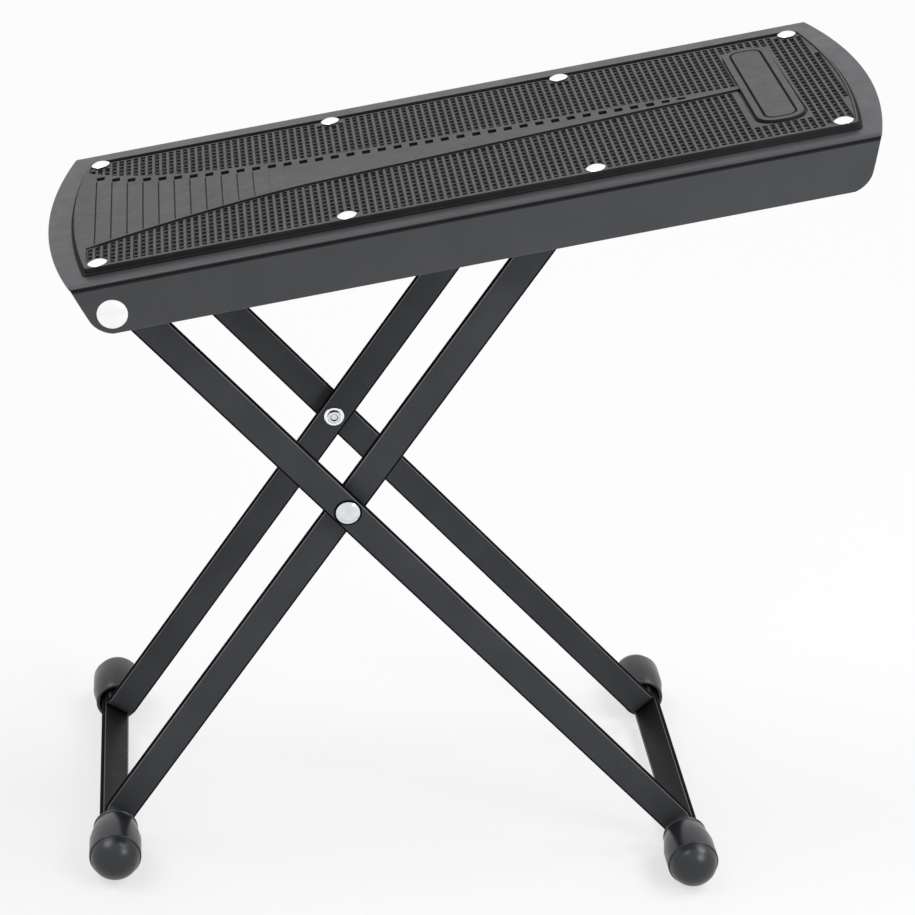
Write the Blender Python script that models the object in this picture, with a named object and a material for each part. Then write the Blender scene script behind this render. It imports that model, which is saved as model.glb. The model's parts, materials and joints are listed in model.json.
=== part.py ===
"""Folding guitar footrest: a pressed steel tray with a ribbed rubber tread, tilted on a scissor pair of strap legs.

Lengths are in metres. X runs along the footrest from the tray's low end to its high end, Y from front to rear, +Z up.
The origin is on the floor, under the middle of the footrest, which stands at its highest setting.
"""

import math

import bmesh
import bpy
from mathutils import Matrix, Vector

# Gap kept between two pieces that touch or pass each other, and how far a cutter overruns what it cuts
GAP = 0.0003
OVERRUN = 0.002

# Tray: a sheet folded down along both long sides, its ends bowed
TRAY_LENGTH = 0.300
TRAY_WIDTH = 0.129
TRAY_SHEET = 0.0015
TRAY_BEND_RADIUS = 0.002
TRAY_FLANGE_DEPTH = 0.0192
TRAY_END_BOW = 0.0092
TRAY_CORNER_RADIUS = 0.006

# Tread: the rubber mat on the tray, a little nearer to its front than to its rear, ribbed on both sides of a
# smooth tongue that tapers to a ridge
TREAD_ACROSS = -0.0032
TREAD_THICKNESS = 0.0022
TREAD_END_MARGIN = 0.0087
TREAD_END_BOW = 0.005
TREAD_SIDE_MARGIN = 0.0115
TREAD_CORNER_RADIUS = 0.003
TREAD_BORDER = 0.0026
RIB_PITCH = 0.00268
GROOVE_WIDTH = 0.00175
GROOVE_DEPTH = 0.0009
RIBS_FROM_LOW_END = 0.015

# Tongue: its two edges where it meets the plate, how far they spread evenly and then flare towards the low end
RIDGE_REAR_EDGE = 0.0042
RIDGE_FRONT_EDGE = -0.0014
RIDGE_REAR_SPREAD = 0.0143
RIDGE_FRONT_SPREAD = 0.0185
TONGUE_REAR_FLARE = 0.023
TONGUE_REAR_FADE = 0.029
TONGUE_FRONT_FLARE = 0.0157
TONGUE_FRONT_FADE = 0.085
TONGUE_FRONT_CURVE = 1.7

# Short slots in a row along the tongue's rear edge
SLOT_PITCH = 0.00576
SLOT_LENGTH = 0.003
SLOT_WIDTH = 0.0034
SLOT_MARGIN = 0.0018
SLOTS_FROM_LOW_END = 0.0179
SLOTS_TO_PLATE = 0.0195

# Raised bare plate across the tread, near its high end and a little to the rear
PLATE_FROM_HIGH_END = 0.0377
PLATE_ACROSS = 0.0022
PLATE_WIDTH = 0.0171
PLATE_LENGTH = 0.0778
PLATE_CORNER_RADIUS = 0.0068
PLATE_RAISE = 0.0004
PLATE_ROOT_SHARE = 0.5
PLATE_MARGIN = 0.0012

# Tread rivets, in two rows
TREAD_RIVET_COLUMNS = 4
TREAD_RIVET_END_INSET = 0.0192
TREAD_RIVET_SIDE_INSET = 0.016
TREAD_RIVET_HEAD_RADIUS = 0.0034
TREAD_RIVET_HEAD_HEIGHT = 0.0011
TREAD_RIVET_SHANK_RADIUS = 0.0015
TREAD_RIVET_TAIL_RADIUS = 0.0024
TREAD_RIVET_TAIL_HEIGHT = 0.0009
TREAD_RIVET_LAND = 0.0008

# Strap steel that the legs and their cross straps are cut from
STRAP_WIDTH = 0.012
STRAP_THICKNESS = 0.0025
STRAP_EDGE = 0.0003
STRAP_BEND_RADIUS = 0.0025

# Legs, measured along each strap from the rivet where the outer and the inner pair cross
CROSSING_TO_PIVOT = 0.121
CROSSING_TO_OUTER_FOOT = 0.193
CROSSING_TO_INNER_FOOT = 0.1585
CROSSING_TO_ROD = 0.143
OUTER_LEG_ANGLE = math.radians(44.6)
OUTER_LEGS_WIDTH = 0.0903

# Tray pivot rivets and the sleeves between the tray's flanges and the outer legs
PIVOT_FROM_LOW_END = 0.0214
PIVOT_BELOW_TOP = 0.0117
PIVOT_HEAD_RADIUS = 0.0053
PIVOT_HEAD_HEIGHT = 0.0017
PIVOT_SHANK_RADIUS = 0.0025
PIVOT_TAIL_RADIUS = 0.0036
PIVOT_TAIL_HEIGHT = 0.0009
SLEEVE_WALL = 0.0016

# Crossing rivets and their washers
CROSSING_HEAD_RADIUS = 0.0047
CROSSING_HEAD_HEIGHT = 0.0018
CROSSING_SHANK_RADIUS = 0.0021
CROSSING_TAIL_RADIUS = 0.0026
CROSSING_TAIL_HEIGHT = 0.0009
CROSSING_TAIL_DIMPLE = 0.0005
DIMPLE_SHARE = 0.5
SPACING_WASHER_RADIUS = 0.005
SPACING_WASHER_THICKNESS = 0.002
TAIL_WASHER_RADIUS = 0.0039
TAIL_WASHER_THICKNESS = 0.0008

# Latch rod across the top of the inner legs, and the notched racks that it stands in
ROD_RADIUS = 0.0025
ROD_END_RADIUS = 0.0033
ROD_END_THICKNESS = 0.0006
RACK_SHEET = 0.0015
RACK_BEND_RADIUS = 0.001
RACK_TO_LEGS = 0.002
RACK_LOW_MARGIN = 0.009
RACK_HIGH_MARGIN = 0.0036
RACK_EDGE_MARGIN = 0.0045
RACK_LIP = 0.0015
NOTCH_COUNT = 5
NOTCH_PITCH = 0.016
NOTCH_DEPTH = 0.003
ROD_FALL = 0.0033

# Rubber feet, pushed over the strap ends
FOOT_WALL = 0.0019
FOOT_SWELL = 0.001
FOOT_LENGTH = 0.0283
FOOT_TAPER = 0.010
FOOT_DOME = 0.008
FOOT_RIM_ROUND = 0.0006
FOOT_BORE_DEPTH = 0.0145
FOOT_STANDOFF = 0.0058
FOOT_FLAT = 0.0002

# Part of a rivet head's height that is domed
DOME_SHARE = 0.75

# Facets round a turned piece, and steps along an arc
FACETS = 24
SMALL_FACETS = 16
DOME_STEPS = 3
BEND_STEPS = 4
ROUND_STEPS = 4
BOW_STEPS = 12
SMOOTH_ANGLE = math.radians(35)

# Places that follow from the sizes above
TRAY_HALF_WIDTH = TRAY_WIDTH / 2
TREAD_BOTTOM = GAP
TREAD_TOP = TREAD_BOTTOM + TREAD_THICKNESS
TREAD_HALF_WIDTH = TRAY_HALF_WIDTH - TREAD_SIDE_MARGIN
RIVET_ROW = TRAY_HALF_WIDTH - TREAD_RIVET_SIDE_INSET
PLATE_MIDDLE = TRAY_LENGTH - PLATE_FROM_HIGH_END
PLATE_LOW_END = PLATE_MIDDLE - PLATE_WIDTH / 2
PLATE_HIGH_END = PLATE_MIDDLE + PLATE_WIDTH / 2
STRAP_HALF_WIDTH = STRAP_WIDTH / 2
STRAP_HALF_THICKNESS = STRAP_THICKNESS / 2
OUTER_LEG_OUTSIDE = OUTER_LEGS_WIDTH / 2
OUTER_LEG_INSIDE = OUTER_LEG_OUTSIDE - STRAP_THICKNESS
INNER_LEG_OUTSIDE = OUTER_LEG_INSIDE - SPACING_WASHER_THICKNESS - 2 * GAP
INNER_LEG_INSIDE = INNER_LEG_OUTSIDE - STRAP_THICKNESS
TAB_HALF_STEP = (STRAP_THICKNESS + GAP) / 2
FOOT_BORE_RADIUS = math.hypot(STRAP_HALF_WIDTH, STRAP_THICKNESS + GAP / 2) + GAP
FOOT_RIM_RADIUS = FOOT_BORE_RADIUS + FOOT_WALL
FOOT_RADIUS = FOOT_RIM_RADIUS + FOOT_SWELL
FOOT_AXIS_HEIGHT = FOOT_RADIUS - FOOT_FLAT
TAB_REACH = FOOT_STANDOFF + FOOT_BORE_DEPTH - GAP
CROSSING_RISE = CROSSING_TO_OUTER_FOOT * math.sin(OUTER_LEG_ANGLE)
INNER_LEG_ANGLE = math.asin(CROSSING_RISE / CROSSING_TO_INNER_FOOT)
ROD_OVER = CROSSING_TO_PIVOT * math.cos(OUTER_LEG_ANGLE) + CROSSING_TO_ROD * math.cos(INNER_LEG_ANGLE)
ROD_UP = CROSSING_TO_ROD * math.sin(INNER_LEG_ANGLE) - CROSSING_TO_PIVOT * math.sin(OUTER_LEG_ANGLE)
TRAY_TILT = math.atan2(ROD_UP, ROD_OVER)
TRAY_SPAN = TRAY_LENGTH * math.cos(TRAY_TILT) + TRAY_SHEET * math.sin(TRAY_TILT)
PIVOT_X = PIVOT_FROM_LOW_END * math.cos(TRAY_TILT) + PIVOT_BELOW_TOP * math.sin(TRAY_TILT) - TRAY_SPAN / 2
CROSSING_X = PIVOT_X + CROSSING_TO_PIVOT * math.cos(OUTER_LEG_ANGLE)
CROSSING_Z = FOOT_AXIS_HEIGHT + CROSSING_RISE
PIVOT_Z = CROSSING_Z + CROSSING_TO_PIVOT * math.sin(OUTER_LEG_ANGLE)
ROD_STANDING = PIVOT_FROM_LOW_END + math.hypot(ROD_OVER, ROD_UP)
ROD_FOLDED = PIVOT_FROM_LOW_END + CROSSING_TO_PIVOT + CROSSING_TO_ROD
RACK_TOP = -TRAY_SHEET - GAP
RACK_SLOT_TOP = -PIVOT_BELOW_TOP + ROD_RADIUS + GAP
RACK_SLOT_BOTTOM = -PIVOT_BELOW_TOP - ROD_RADIUS - ROD_FALL
RACK_WALL_LIMIT = RIVET_ROW - abs(TREAD_ACROSS) - TREAD_RIVET_TAIL_RADIUS - GAP
RACK_WALL_OUTSIDE = min(INNER_LEG_INSIDE - RACK_TO_LEGS, RACK_WALL_LIMIT)
NOTCH_HALF_WIDTH = ROD_RADIUS + GAP


def bow_radius(bow, half_width):
    """Radius of the arc that rises by bow over half_width."""
    return (half_width**2 + bow**2) / (2 * bow)


TRAY_BOW_RADIUS = bow_radius(TRAY_END_BOW, TRAY_HALF_WIDTH)
TREAD_BOW_RADIUS = bow_radius(TREAD_END_BOW, TREAD_HALF_WIDTH)


def bow_at(radius, across):
    """How far an end bowed to this radius has drawn in, at this distance from the middle line."""
    return radius - math.sqrt(radius**2 - across**2)


def rivet_columns():
    """Distances of the tread's rivet columns from the tray's low end."""
    step = (TRAY_LENGTH - 2 * TREAD_RIVET_END_INSET) / (TREAD_RIVET_COLUMNS - 1)
    return [TREAD_RIVET_END_INSET + step * column for column in range(TREAD_RIVET_COLUMNS)]


def rack_ends():
    """Distances of a rack's two ends from the tray's low end, past its slot and the two rivets that hold it."""
    low = min(rivet_columns()[-2], ROD_STANDING) - RACK_LOW_MARGIN
    high = max(ROD_FOLDED + ROD_RADIUS, rivet_columns()[-1] + TREAD_RIVET_TAIL_RADIUS) + RACK_HIGH_MARGIN
    return low, high


# Scene, materials and mesh helpers


def clear_scene():
    for obj in list(bpy.data.objects):
        bpy.data.objects.remove(obj, do_unlink=True)


def make_material(name, color, roughness, metallic):
    material = bpy.data.materials.new(name)
    material.use_nodes = True
    shader = material.node_tree.nodes["Principled BSDF"]
    shader.inputs["Base Color"].default_value = (*color, 1)
    shader.inputs["Roughness"].default_value = roughness
    shader.inputs["Metallic"].default_value = metallic
    return material


def black_paint():
    return make_material("black_paint", (0.075, 0.077, 0.082), 0.42, 0)


def tread_rubber():
    return make_material("tread_rubber", (0.06, 0.061, 0.061), 0.7, 0)


def foot_rubber():
    return make_material("foot_rubber", (0.05, 0.055, 0.062), 0.38, 0)


def bright_nickel():
    return make_material("bright_nickel", (0.86, 0.87, 0.88), 0.16, 1)


def plain_steel():
    return make_material("plain_steel", (0.52, 0.52, 0.51), 0.35, 1)


def finish_mesh(name, bm):
    bmesh.ops.recalc_face_normals(bm, faces=bm.faces)
    mesh = bpy.data.meshes.new(name)
    bm.to_mesh(mesh)
    bm.free()
    mesh.shade_smooth()
    mesh.set_sharp_from_angle(angle=SMOOTH_ANGLE)
    return mesh


def place(name, mesh, parent, material=None, location=(0, 0, 0), rotation=(0, 0, 0)):
    obj = bpy.data.objects.new(name, mesh)
    bpy.context.scene.collection.objects.link(obj)
    obj.parent = parent
    obj.location = location
    obj.rotation_euler = rotation
    if material is not None:
        mesh.materials.clear()
        mesh.materials.append(material)
    return obj


def reshape(target, bm, name, operation="DIFFERENCE"):
    """Cuts a helper mesh, given in the frame of the target's parent, out of the target, or joins it on."""
    helper = place(name, finish_mesh(name, bm), target.parent)
    helper.hide_render = True
    helper.display_type = "WIRE"
    modifier = target.modifiers.new(name, "BOOLEAN")
    modifier.operation = operation
    modifier.solver = "EXACT"
    modifier.object = helper


def steps_between(start, end, steps):
    return [start + (end - start) * step / steps for step in range(steps + 1)]


def add_sections(bm, sections):
    """Adds a closed solid through sections that all have the same number of points."""
    loops = [[bm.verts.new(point) for point in section] for section in sections]
    for first, second in zip(loops, loops[1:]):
        count = len(first)
        for index in range(count):
            following = (index + 1) % count
            bm.faces.new((first[index], first[following], second[following], second[index]))
    bm.faces.new(reversed(loops[0]))
    bm.faces.new(loops[-1])


def add_circle(bm, radius, height, facets):
    """Adds the corners of one ring round Z, with a facet's middle towards +X."""
    turns = [2 * math.pi * (step + 0.5) / facets for step in range(facets)]
    return [bm.verts.new((radius * math.cos(turn), radius * math.sin(turn), height)) for turn in turns]


def add_band(bm, below, above):
    """Adds the faces between two rings, either of which may be a single point on the axis."""
    facets = max(len(below), len(above))
    for step in range(facets):
        following = (step + 1) % facets
        corners = [below[0]] if len(below) == 1 else [below[step], below[following]]
        corners += [above[0]] if len(above) == 1 else [above[following], above[step]]
        bm.faces.new(corners)


def turned_bmesh(profile, facets):
    """A solid turned round Z from (radius, height) points whose first and last radius is zero."""
    bm = bmesh.new()
    rings = []
    for radius, height in profile:
        ring = [bm.verts.new((0, 0, height))] if radius == 0 else add_circle(bm, radius, height, facets)
        rings.append(ring)
    for below, above in zip(rings, rings[1:]):
        add_band(bm, below, above)
    return bm


def turned_mesh(name, profile, facets=FACETS):
    return finish_mesh(name, turned_bmesh(profile, facets))


def ring_mesh(name, inner, outer, low, high):
    """A plain ring round Z, such as a washer or a sleeve."""
    bm = bmesh.new()
    corners = ((inner, low), (outer, low), (outer, high), (inner, high))
    rings = [add_circle(bm, radius, height, FACETS) for radius, height in corners]
    for index, ring in enumerate(rings):
        add_band(bm, ring, rings[(index + 1) % len(rings)])
    return finish_mesh(name, bm)


def add_drill(bm, radius, centre, direction, reach, facets=FACETS):
    """Adds a round cutter through centre, along the direction, that reaches as far to both sides."""
    created = bmesh.ops.create_cone(
        bm, cap_ends=True, segments=facets, radius1=radius, radius2=radius, depth=2 * reach
    )
    turn = Vector((0, 0, 1)).rotation_difference(Vector(direction)).to_matrix()
    bmesh.ops.rotate(bm, verts=created["verts"], cent=(0, 0, 0), matrix=turn)
    bmesh.ops.translate(bm, verts=created["verts"], vec=Vector(centre))


def domed_head(radius, base, height):
    """Profile of a shallow domed head, from its rim to its crown."""
    rise = height * DOME_SHARE
    ball = (radius**2 + rise**2) / (2 * rise)
    points = [(radius, base)]
    for angle in steps_between(math.asin(radius / ball), 0, DOME_STEPS)[:-1]:
        points.append((ball * math.sin(angle), base + height - ball * (1 - math.cos(angle))))
    return points + [(0, base + height)]


def facing(side):
    """Rotation that turns a piece's +Z outwards, to the rear for side 1 and to the front for side -1."""
    return (-side * math.pi / 2, 0, 0)


def side_name(name, side):
    return name + ("_rear" if side > 0 else "_front")


# Axes that the moving bodies hang on


def make_axis(name, location, turn):
    return place(name, None, None, location=location, rotation=(0, turn, 0))


def outer_legs_axis():
    """On the crossing, with X down the outer legs towards their feet."""
    return make_axis("outer_legs_axis", (CROSSING_X, 0, CROSSING_Z), OUTER_LEG_ANGLE)


def inner_legs_axis():
    """On the crossing, with X down the inner legs towards their feet."""
    return make_axis("inner_legs_axis", (CROSSING_X, 0, CROSSING_Z), math.pi - INNER_LEG_ANGLE)


def tray_axis():
    """On the tray's pivot, with X up along the tray and Z square to its top."""
    return make_axis("tray_axis", (PIVOT_X, 0, PIVOT_Z), -TRAY_TILT)


def on_tray(along, across, up):
    """A place on the tray, from its low end, its middle line and its top, in the frame of tray_axis."""
    return Vector((along - PIVOT_FROM_LOW_END, across, up + PIVOT_BELOW_TOP))


def on_tread(along, across, up):
    """The same, with across measured from the tread's middle line."""
    return on_tray(along, across + TREAD_ACROSS, up)


def add_tread_prism(bm, outline, low, high):
    """Adds the solid between two heights over an outline of (along, across) places on the tread."""
    add_sections(bm, [[on_tread(along, across, up) for along, across in outline] for up in (low, high)])


# Tray


def tray_half_section():
    """The folded sheet from its middle line to its edge: (distance along the sheet, y, z, outward y, outward z)."""
    flat = TRAY_HALF_WIDTH - TRAY_BEND_RADIUS
    stations = [(across, across, 0, 0, 1) for across in steps_between(0, flat, BOW_STEPS)]
    for angle in steps_between(0, math.pi / 2, BEND_STEPS)[1:]:
        out_y = math.sin(angle)
        out_z = math.cos(angle)
        across = flat + TRAY_BEND_RADIUS * out_y
        stations.append((flat + TRAY_BEND_RADIUS * angle, across, TRAY_BEND_RADIUS * (out_z - 1), out_y, out_z))
    straight = TRAY_FLANGE_DEPTH - TRAY_BEND_RADIUS - TRAY_CORNER_RADIUS
    downs = steps_between(0, straight, 2)[1:]
    for angle in steps_between(0, math.pi / 2, ROUND_STEPS)[1:]:
        downs.append(straight + TRAY_CORNER_RADIUS * math.sin(angle))
    bend_end = flat + TRAY_BEND_RADIUS * math.pi / 2
    for down in downs:
        stations.append((bend_end + down, TRAY_HALF_WIDTH, -TRAY_BEND_RADIUS - down, 1, 0))
    return stations


def tray_end(distance, edge):
    """How far the tray's end has drawn in, across its top and on down its flange to the rounded corner."""
    drawn = bow_at(TRAY_BOW_RADIUS, distance)
    past = distance - (edge - TRAY_CORNER_RADIUS)
    if past > 0:
        drawn += TRAY_CORNER_RADIUS - math.sqrt(max(0, TRAY_CORNER_RADIUS**2 - past**2))
    return drawn


def build_tray(parent, material):
    half = tray_half_section()
    edge = half[-1][0]
    mirrored = [(distance, -y, z, -out_y, out_z) for distance, y, z, out_y, out_z in reversed(half[1:])]
    sections = []
    for distance, y, z, out_y, out_z in mirrored + half:
        drawn = tray_end(distance, edge)
        inside_y = y - TRAY_SHEET * out_y
        inside_z = z - TRAY_SHEET * out_z
        sections.append(
            [
                on_tray(drawn, y, z),
                on_tray(TRAY_LENGTH - drawn, y, z),
                on_tray(TRAY_LENGTH - drawn, inside_y, inside_z),
                on_tray(drawn, inside_y, inside_z),
            ]
        )
    bm = bmesh.new()
    add_sections(bm, sections)
    tray = place("platform_tray", finish_mesh("platform_tray", bm), parent, material)
    holes = bmesh.new()
    add_tread_rivet_drills(holes, rivet_columns(), (-1, 1))
    for side in (-1, 1):
        centre = (0, side * TRAY_HALF_WIDTH, 0)
        add_drill(holes, PIVOT_SHANK_RADIUS + GAP, centre, (0, 1, 0), TRAY_SHEET + OVERRUN)
    reshape(tray, holes, "tray_holes")


def add_tread_rivet_drills(bm, columns, sides):
    reach = TREAD_TOP + TRAY_SHEET + RACK_SHEET + OVERRUN
    for along in columns:
        for side in sides:
            centre = on_tread(along, side * RIVET_ROW, 0)
            add_drill(bm, TREAD_RIVET_SHANK_RADIUS + GAP, centre, (0, 0, 1), reach, SMALL_FACETS)


# Tread


def tread_end(across):
    """How far the tread's end has drawn in from the tray's low end."""
    return TREAD_END_MARGIN + bow_at(TREAD_BOW_RADIUS, across)


def tread_outline():
    widths = steps_between(-TREAD_HALF_WIDTH, TREAD_HALF_WIDTH, BOW_STEPS)
    low = [(tread_end(across), across) for across in widths]
    high = [(TRAY_LENGTH - along, across) for along, across in reversed(low)]
    return low + high


def tongue_edge(along, side):
    """Distance of the tongue's edge from the middle line, narrowing from a wide foot to a slim ridge."""
    past = along - RIBS_FROM_LOW_END
    left = (PLATE_LOW_END - along) / (PLATE_LOW_END - RIBS_FROM_LOW_END)
    if side > 0:
        flare = TONGUE_REAR_FLARE * math.exp(-past / TONGUE_REAR_FADE)
        return RIDGE_REAR_EDGE + RIDGE_REAR_SPREAD * left + flare
    flare = TONGUE_FRONT_FLARE * max(0, 1 - past / TONGUE_FRONT_FADE) ** TONGUE_FRONT_CURVE
    return RIDGE_FRONT_EDGE + RIDGE_FRONT_SPREAD * left + flare


def groove_middles():
    """Distances of the grooves between the ribs from the tray's low end."""
    high = TRAY_LENGTH - TREAD_END_MARGIN - TREAD_BORDER
    count = int((high - RIBS_FROM_LOW_END) / RIB_PITCH)
    return [RIBS_FROM_LOW_END + RIB_PITCH * (index + 0.5) for index in range(count)]


def groove_outer_end(along):
    """Where a groove ends towards the tread's long side: at its border, its bowed end or a rivet."""
    past_end = min(along, TRAY_LENGTH - along) - GROOVE_WIDTH / 2 - TREAD_END_MARGIN - TREAD_BORDER
    radius = TREAD_BOW_RADIUS - TREAD_BORDER
    reach = TREAD_HALF_WIDTH - TREAD_BORDER
    if past_end < 0:
        return 0
    if past_end < radius:
        reach = min(reach, math.sqrt(radius**2 - (radius - past_end) ** 2))
    land = TREAD_RIVET_HEAD_RADIUS + TREAD_RIVET_LAND
    if min(abs(along - column) for column in rivet_columns()) < land + GROOVE_WIDTH / 2:
        reach = min(reach, RIVET_ROW - land)
    return reach


def add_groove(bm, along, inner_low, inner_high, outer, side):
    """Adds the cutter of one groove, whose inner end may slant with the tongue's edge."""
    low = along - GROOVE_WIDTH / 2
    high = along + GROOVE_WIDTH / 2
    outline = [(low, side * inner_low), (high, side * inner_high), (high, side * outer), (low, side * outer)]
    add_tread_prism(bm, outline, TREAD_TOP - GROOVE_DEPTH, TREAD_TOP + OVERRUN)


def add_grooves(bm):
    """Adds the grooves on both sides of the tongue and the plate, and right across past the plate."""
    half_groove = GROOVE_WIDTH / 2
    for along in groove_middles():
        outer = groove_outer_end(along)
        if along - half_groove > PLATE_HIGH_END + PLATE_MARGIN:
            if outer > GROOVE_WIDTH:
                add_groove(bm, along, -outer, -outer, outer, 1)
            continue
        for side in (-1, 1):
            inner_low = tongue_edge(along - half_groove, side)
            inner_high = tongue_edge(along + half_groove, side)
            if along + half_groove > PLATE_LOW_END - PLATE_MARGIN:
                inner_low = PLATE_LENGTH / 2 + PLATE_MARGIN + side * PLATE_ACROSS
                inner_high = inner_low
            if outer - inner_low > GROOVE_WIDTH:
                add_groove(bm, along, inner_low, inner_high, outer, side)


def add_tongue_slots(bm):
    """Adds the row of short slots along the tongue's rear edge, narrower where the ridge is slim."""
    run = PLATE_LOW_END - SLOTS_TO_PLATE - SLOT_LENGTH - SLOTS_FROM_LOW_END
    for index in range(int(run / SLOT_PITCH) + 1):
        low = SLOTS_FROM_LOW_END + SLOT_PITCH * index
        outer = tongue_edge(low + SLOT_LENGTH, 1) - SLOT_MARGIN
        room = outer + tongue_edge(low + SLOT_LENGTH, -1) - SLOT_MARGIN
        inner = outer - min(SLOT_WIDTH, room)
        outline = [(low, inner), (low + SLOT_LENGTH, inner), (low + SLOT_LENGTH, outer), (low, outer)]
        add_tread_prism(bm, outline, TREAD_TOP - GROOVE_DEPTH, TREAD_TOP + OVERRUN)


def plate_outline():
    """The raised plate as (along, across) places, with its four corners rounded."""
    quarters = [(1, 1), (-1, 1), (-1, -1), (1, -1)]
    radius = PLATE_CORNER_RADIUS
    points = []
    for quarter, (along_side, across_side) in enumerate(quarters):
        along = PLATE_MIDDLE + along_side * (PLATE_WIDTH / 2 - radius)
        across = PLATE_ACROSS + across_side * (PLATE_LENGTH / 2 - radius)
        for angle in steps_between(quarter * math.pi / 2, (quarter + 1) * math.pi / 2, ROUND_STEPS):
            points.append((along + radius * math.cos(angle), across + radius * math.sin(angle)))
    return points


def round_tread_corners(bm):
    corner = on_tread(tread_end(TREAD_HALF_WIDTH), TREAD_HALF_WIDTH, 0)
    middle = on_tread(TRAY_LENGTH / 2, 0, 0)
    reach = (corner - middle).xy.length - GAP
    upright = [edge for edge in bm.edges if edge.verts[0].co.z != edge.verts[1].co.z]
    corners = [edge for edge in upright if (edge.verts[0].co - middle).xy.length > reach]
    bmesh.ops.bevel(
        bm, geom=corners, offset=TREAD_CORNER_RADIUS, segments=ROUND_STEPS, profile=0.5, affect="EDGES"
    )


def build_tread(parent, material):
    bm = bmesh.new()
    add_tread_prism(bm, tread_outline(), TREAD_BOTTOM, TREAD_TOP)
    round_tread_corners(bm)
    tread = place("tread_mat", finish_mesh("tread_mat", bm), parent, material)
    relief = bmesh.new()
    add_grooves(relief)
    add_tongue_slots(relief)
    add_tread_rivet_drills(relief, rivet_columns(), (-1, 1))
    reshape(tread, relief, "tread_relief")
    plate = bmesh.new()
    root = TREAD_TOP - TREAD_THICKNESS * PLATE_ROOT_SHARE
    add_tread_prism(plate, plate_outline(), root, TREAD_TOP + PLATE_RAISE)
    reshape(tread, plate, "tread_plate", "UNION")


def tread_rivet_profile(tail_top):
    """Profile of a tread rivet whose tail clamps against the face at tail_top."""
    tail_low = tail_top - TREAD_RIVET_TAIL_HEIGHT
    head_base = TREAD_TOP + GAP
    profile = [(0, tail_low), (TREAD_RIVET_TAIL_RADIUS, tail_low), (TREAD_RIVET_TAIL_RADIUS, tail_top)]
    profile += [(TREAD_RIVET_SHANK_RADIUS, tail_top), (TREAD_RIVET_SHANK_RADIUS, head_base)]
    return profile + domed_head(TREAD_RIVET_HEAD_RADIUS, head_base, TREAD_RIVET_HEAD_HEIGHT)


def build_tread_rivets(parent, material):
    low, high = rack_ends()
    short = turned_mesh("tread_rivet_short", tread_rivet_profile(RACK_TOP), SMALL_FACETS)
    long = turned_mesh("tread_rivet_long", tread_rivet_profile(RACK_TOP - RACK_SHEET - GAP), SMALL_FACETS)
    for column, along in enumerate(rivet_columns()):
        mesh = long if low < along < high else short
        for side in (-1, 1):
            name = side_name("tread_rivet_" + str(column + 1), side)
            place(name, mesh, parent, material, on_tread(along, side * RIVET_ROW, 0))


# Racks under the tray


def rack_outline():
    """Section of a rack as (across, up): a leg that lies under the tray, and a wall bent down from it."""
    leg_end = RIVET_ROW + abs(TREAD_ACROSS) + RACK_EDGE_MARGIN
    wall_inside = RACK_WALL_OUTSIDE - RACK_SHEET
    bottom = RACK_SLOT_BOTTOM - RACK_LIP
    bend_across = RACK_WALL_OUTSIDE + RACK_BEND_RADIUS
    bend_up = RACK_TOP - RACK_SHEET - RACK_BEND_RADIUS
    points = [(leg_end, RACK_TOP)]
    for angle in steps_between(math.pi / 2, math.pi, BEND_STEPS):
        radius = RACK_BEND_RADIUS + RACK_SHEET
        points.append((bend_across + radius * math.cos(angle), bend_up + radius * math.sin(angle)))
    points += [(wall_inside, bottom), (RACK_WALL_OUTSIDE, bottom)]
    for angle in steps_between(math.pi, math.pi / 2, BEND_STEPS):
        across = bend_across + RACK_BEND_RADIUS * math.cos(angle)
        points.append((across, bend_up + RACK_BEND_RADIUS * math.sin(angle)))
    return points + [(leg_end, RACK_TOP - RACK_SHEET)]


def rack_slot_outline():
    """The slot that the rod runs in as (along, up), with the round notches in its upper edge."""
    low = ROD_STANDING - NOTCH_HALF_WIDTH
    high = ROD_FOLDED + NOTCH_HALF_WIDTH
    notch_up = RACK_SLOT_TOP + NOTCH_DEPTH - NOTCH_HALF_WIDTH
    points = [(low, RACK_SLOT_BOTTOM), (high, RACK_SLOT_BOTTOM), (high, RACK_SLOT_TOP)]
    for notch in reversed(range(NOTCH_COUNT)):
        middle = ROD_STANDING + notch * NOTCH_PITCH
        points.append((middle + NOTCH_HALF_WIDTH, RACK_SLOT_TOP))
        for angle in steps_between(0, math.pi, 2 * ROUND_STEPS):
            up = notch_up + NOTCH_HALF_WIDTH * math.sin(angle)
            points.append((middle + NOTCH_HALF_WIDTH * math.cos(angle), up))
        if notch > 0:
            points.append((middle - NOTCH_HALF_WIDTH, RACK_SLOT_TOP))
    return points


def build_rack(parent, material, side):
    low, high = rack_ends()
    bm = bmesh.new()
    add_sections(bm, [[on_tray(along, side * across, up) for across, up in rack_outline()] for along in (low, high)])
    name = side_name("latch_rack", side)
    rack = place(name, finish_mesh(name, bm), parent, material)
    cuts = bmesh.new()
    inside = RACK_WALL_OUTSIDE - RACK_SHEET - OVERRUN
    outside = RACK_WALL_OUTSIDE + OVERRUN
    slot = rack_slot_outline()
    add_sections(cuts, [[on_tray(along, side * across, up) for along, up in slot] for across in (inside, outside)])
    add_tread_rivet_drills(cuts, [along for along in rivet_columns() if low < along < high], [side])
    reshape(rack, cuts, name + "_cuts")


# Tray pivot


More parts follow.
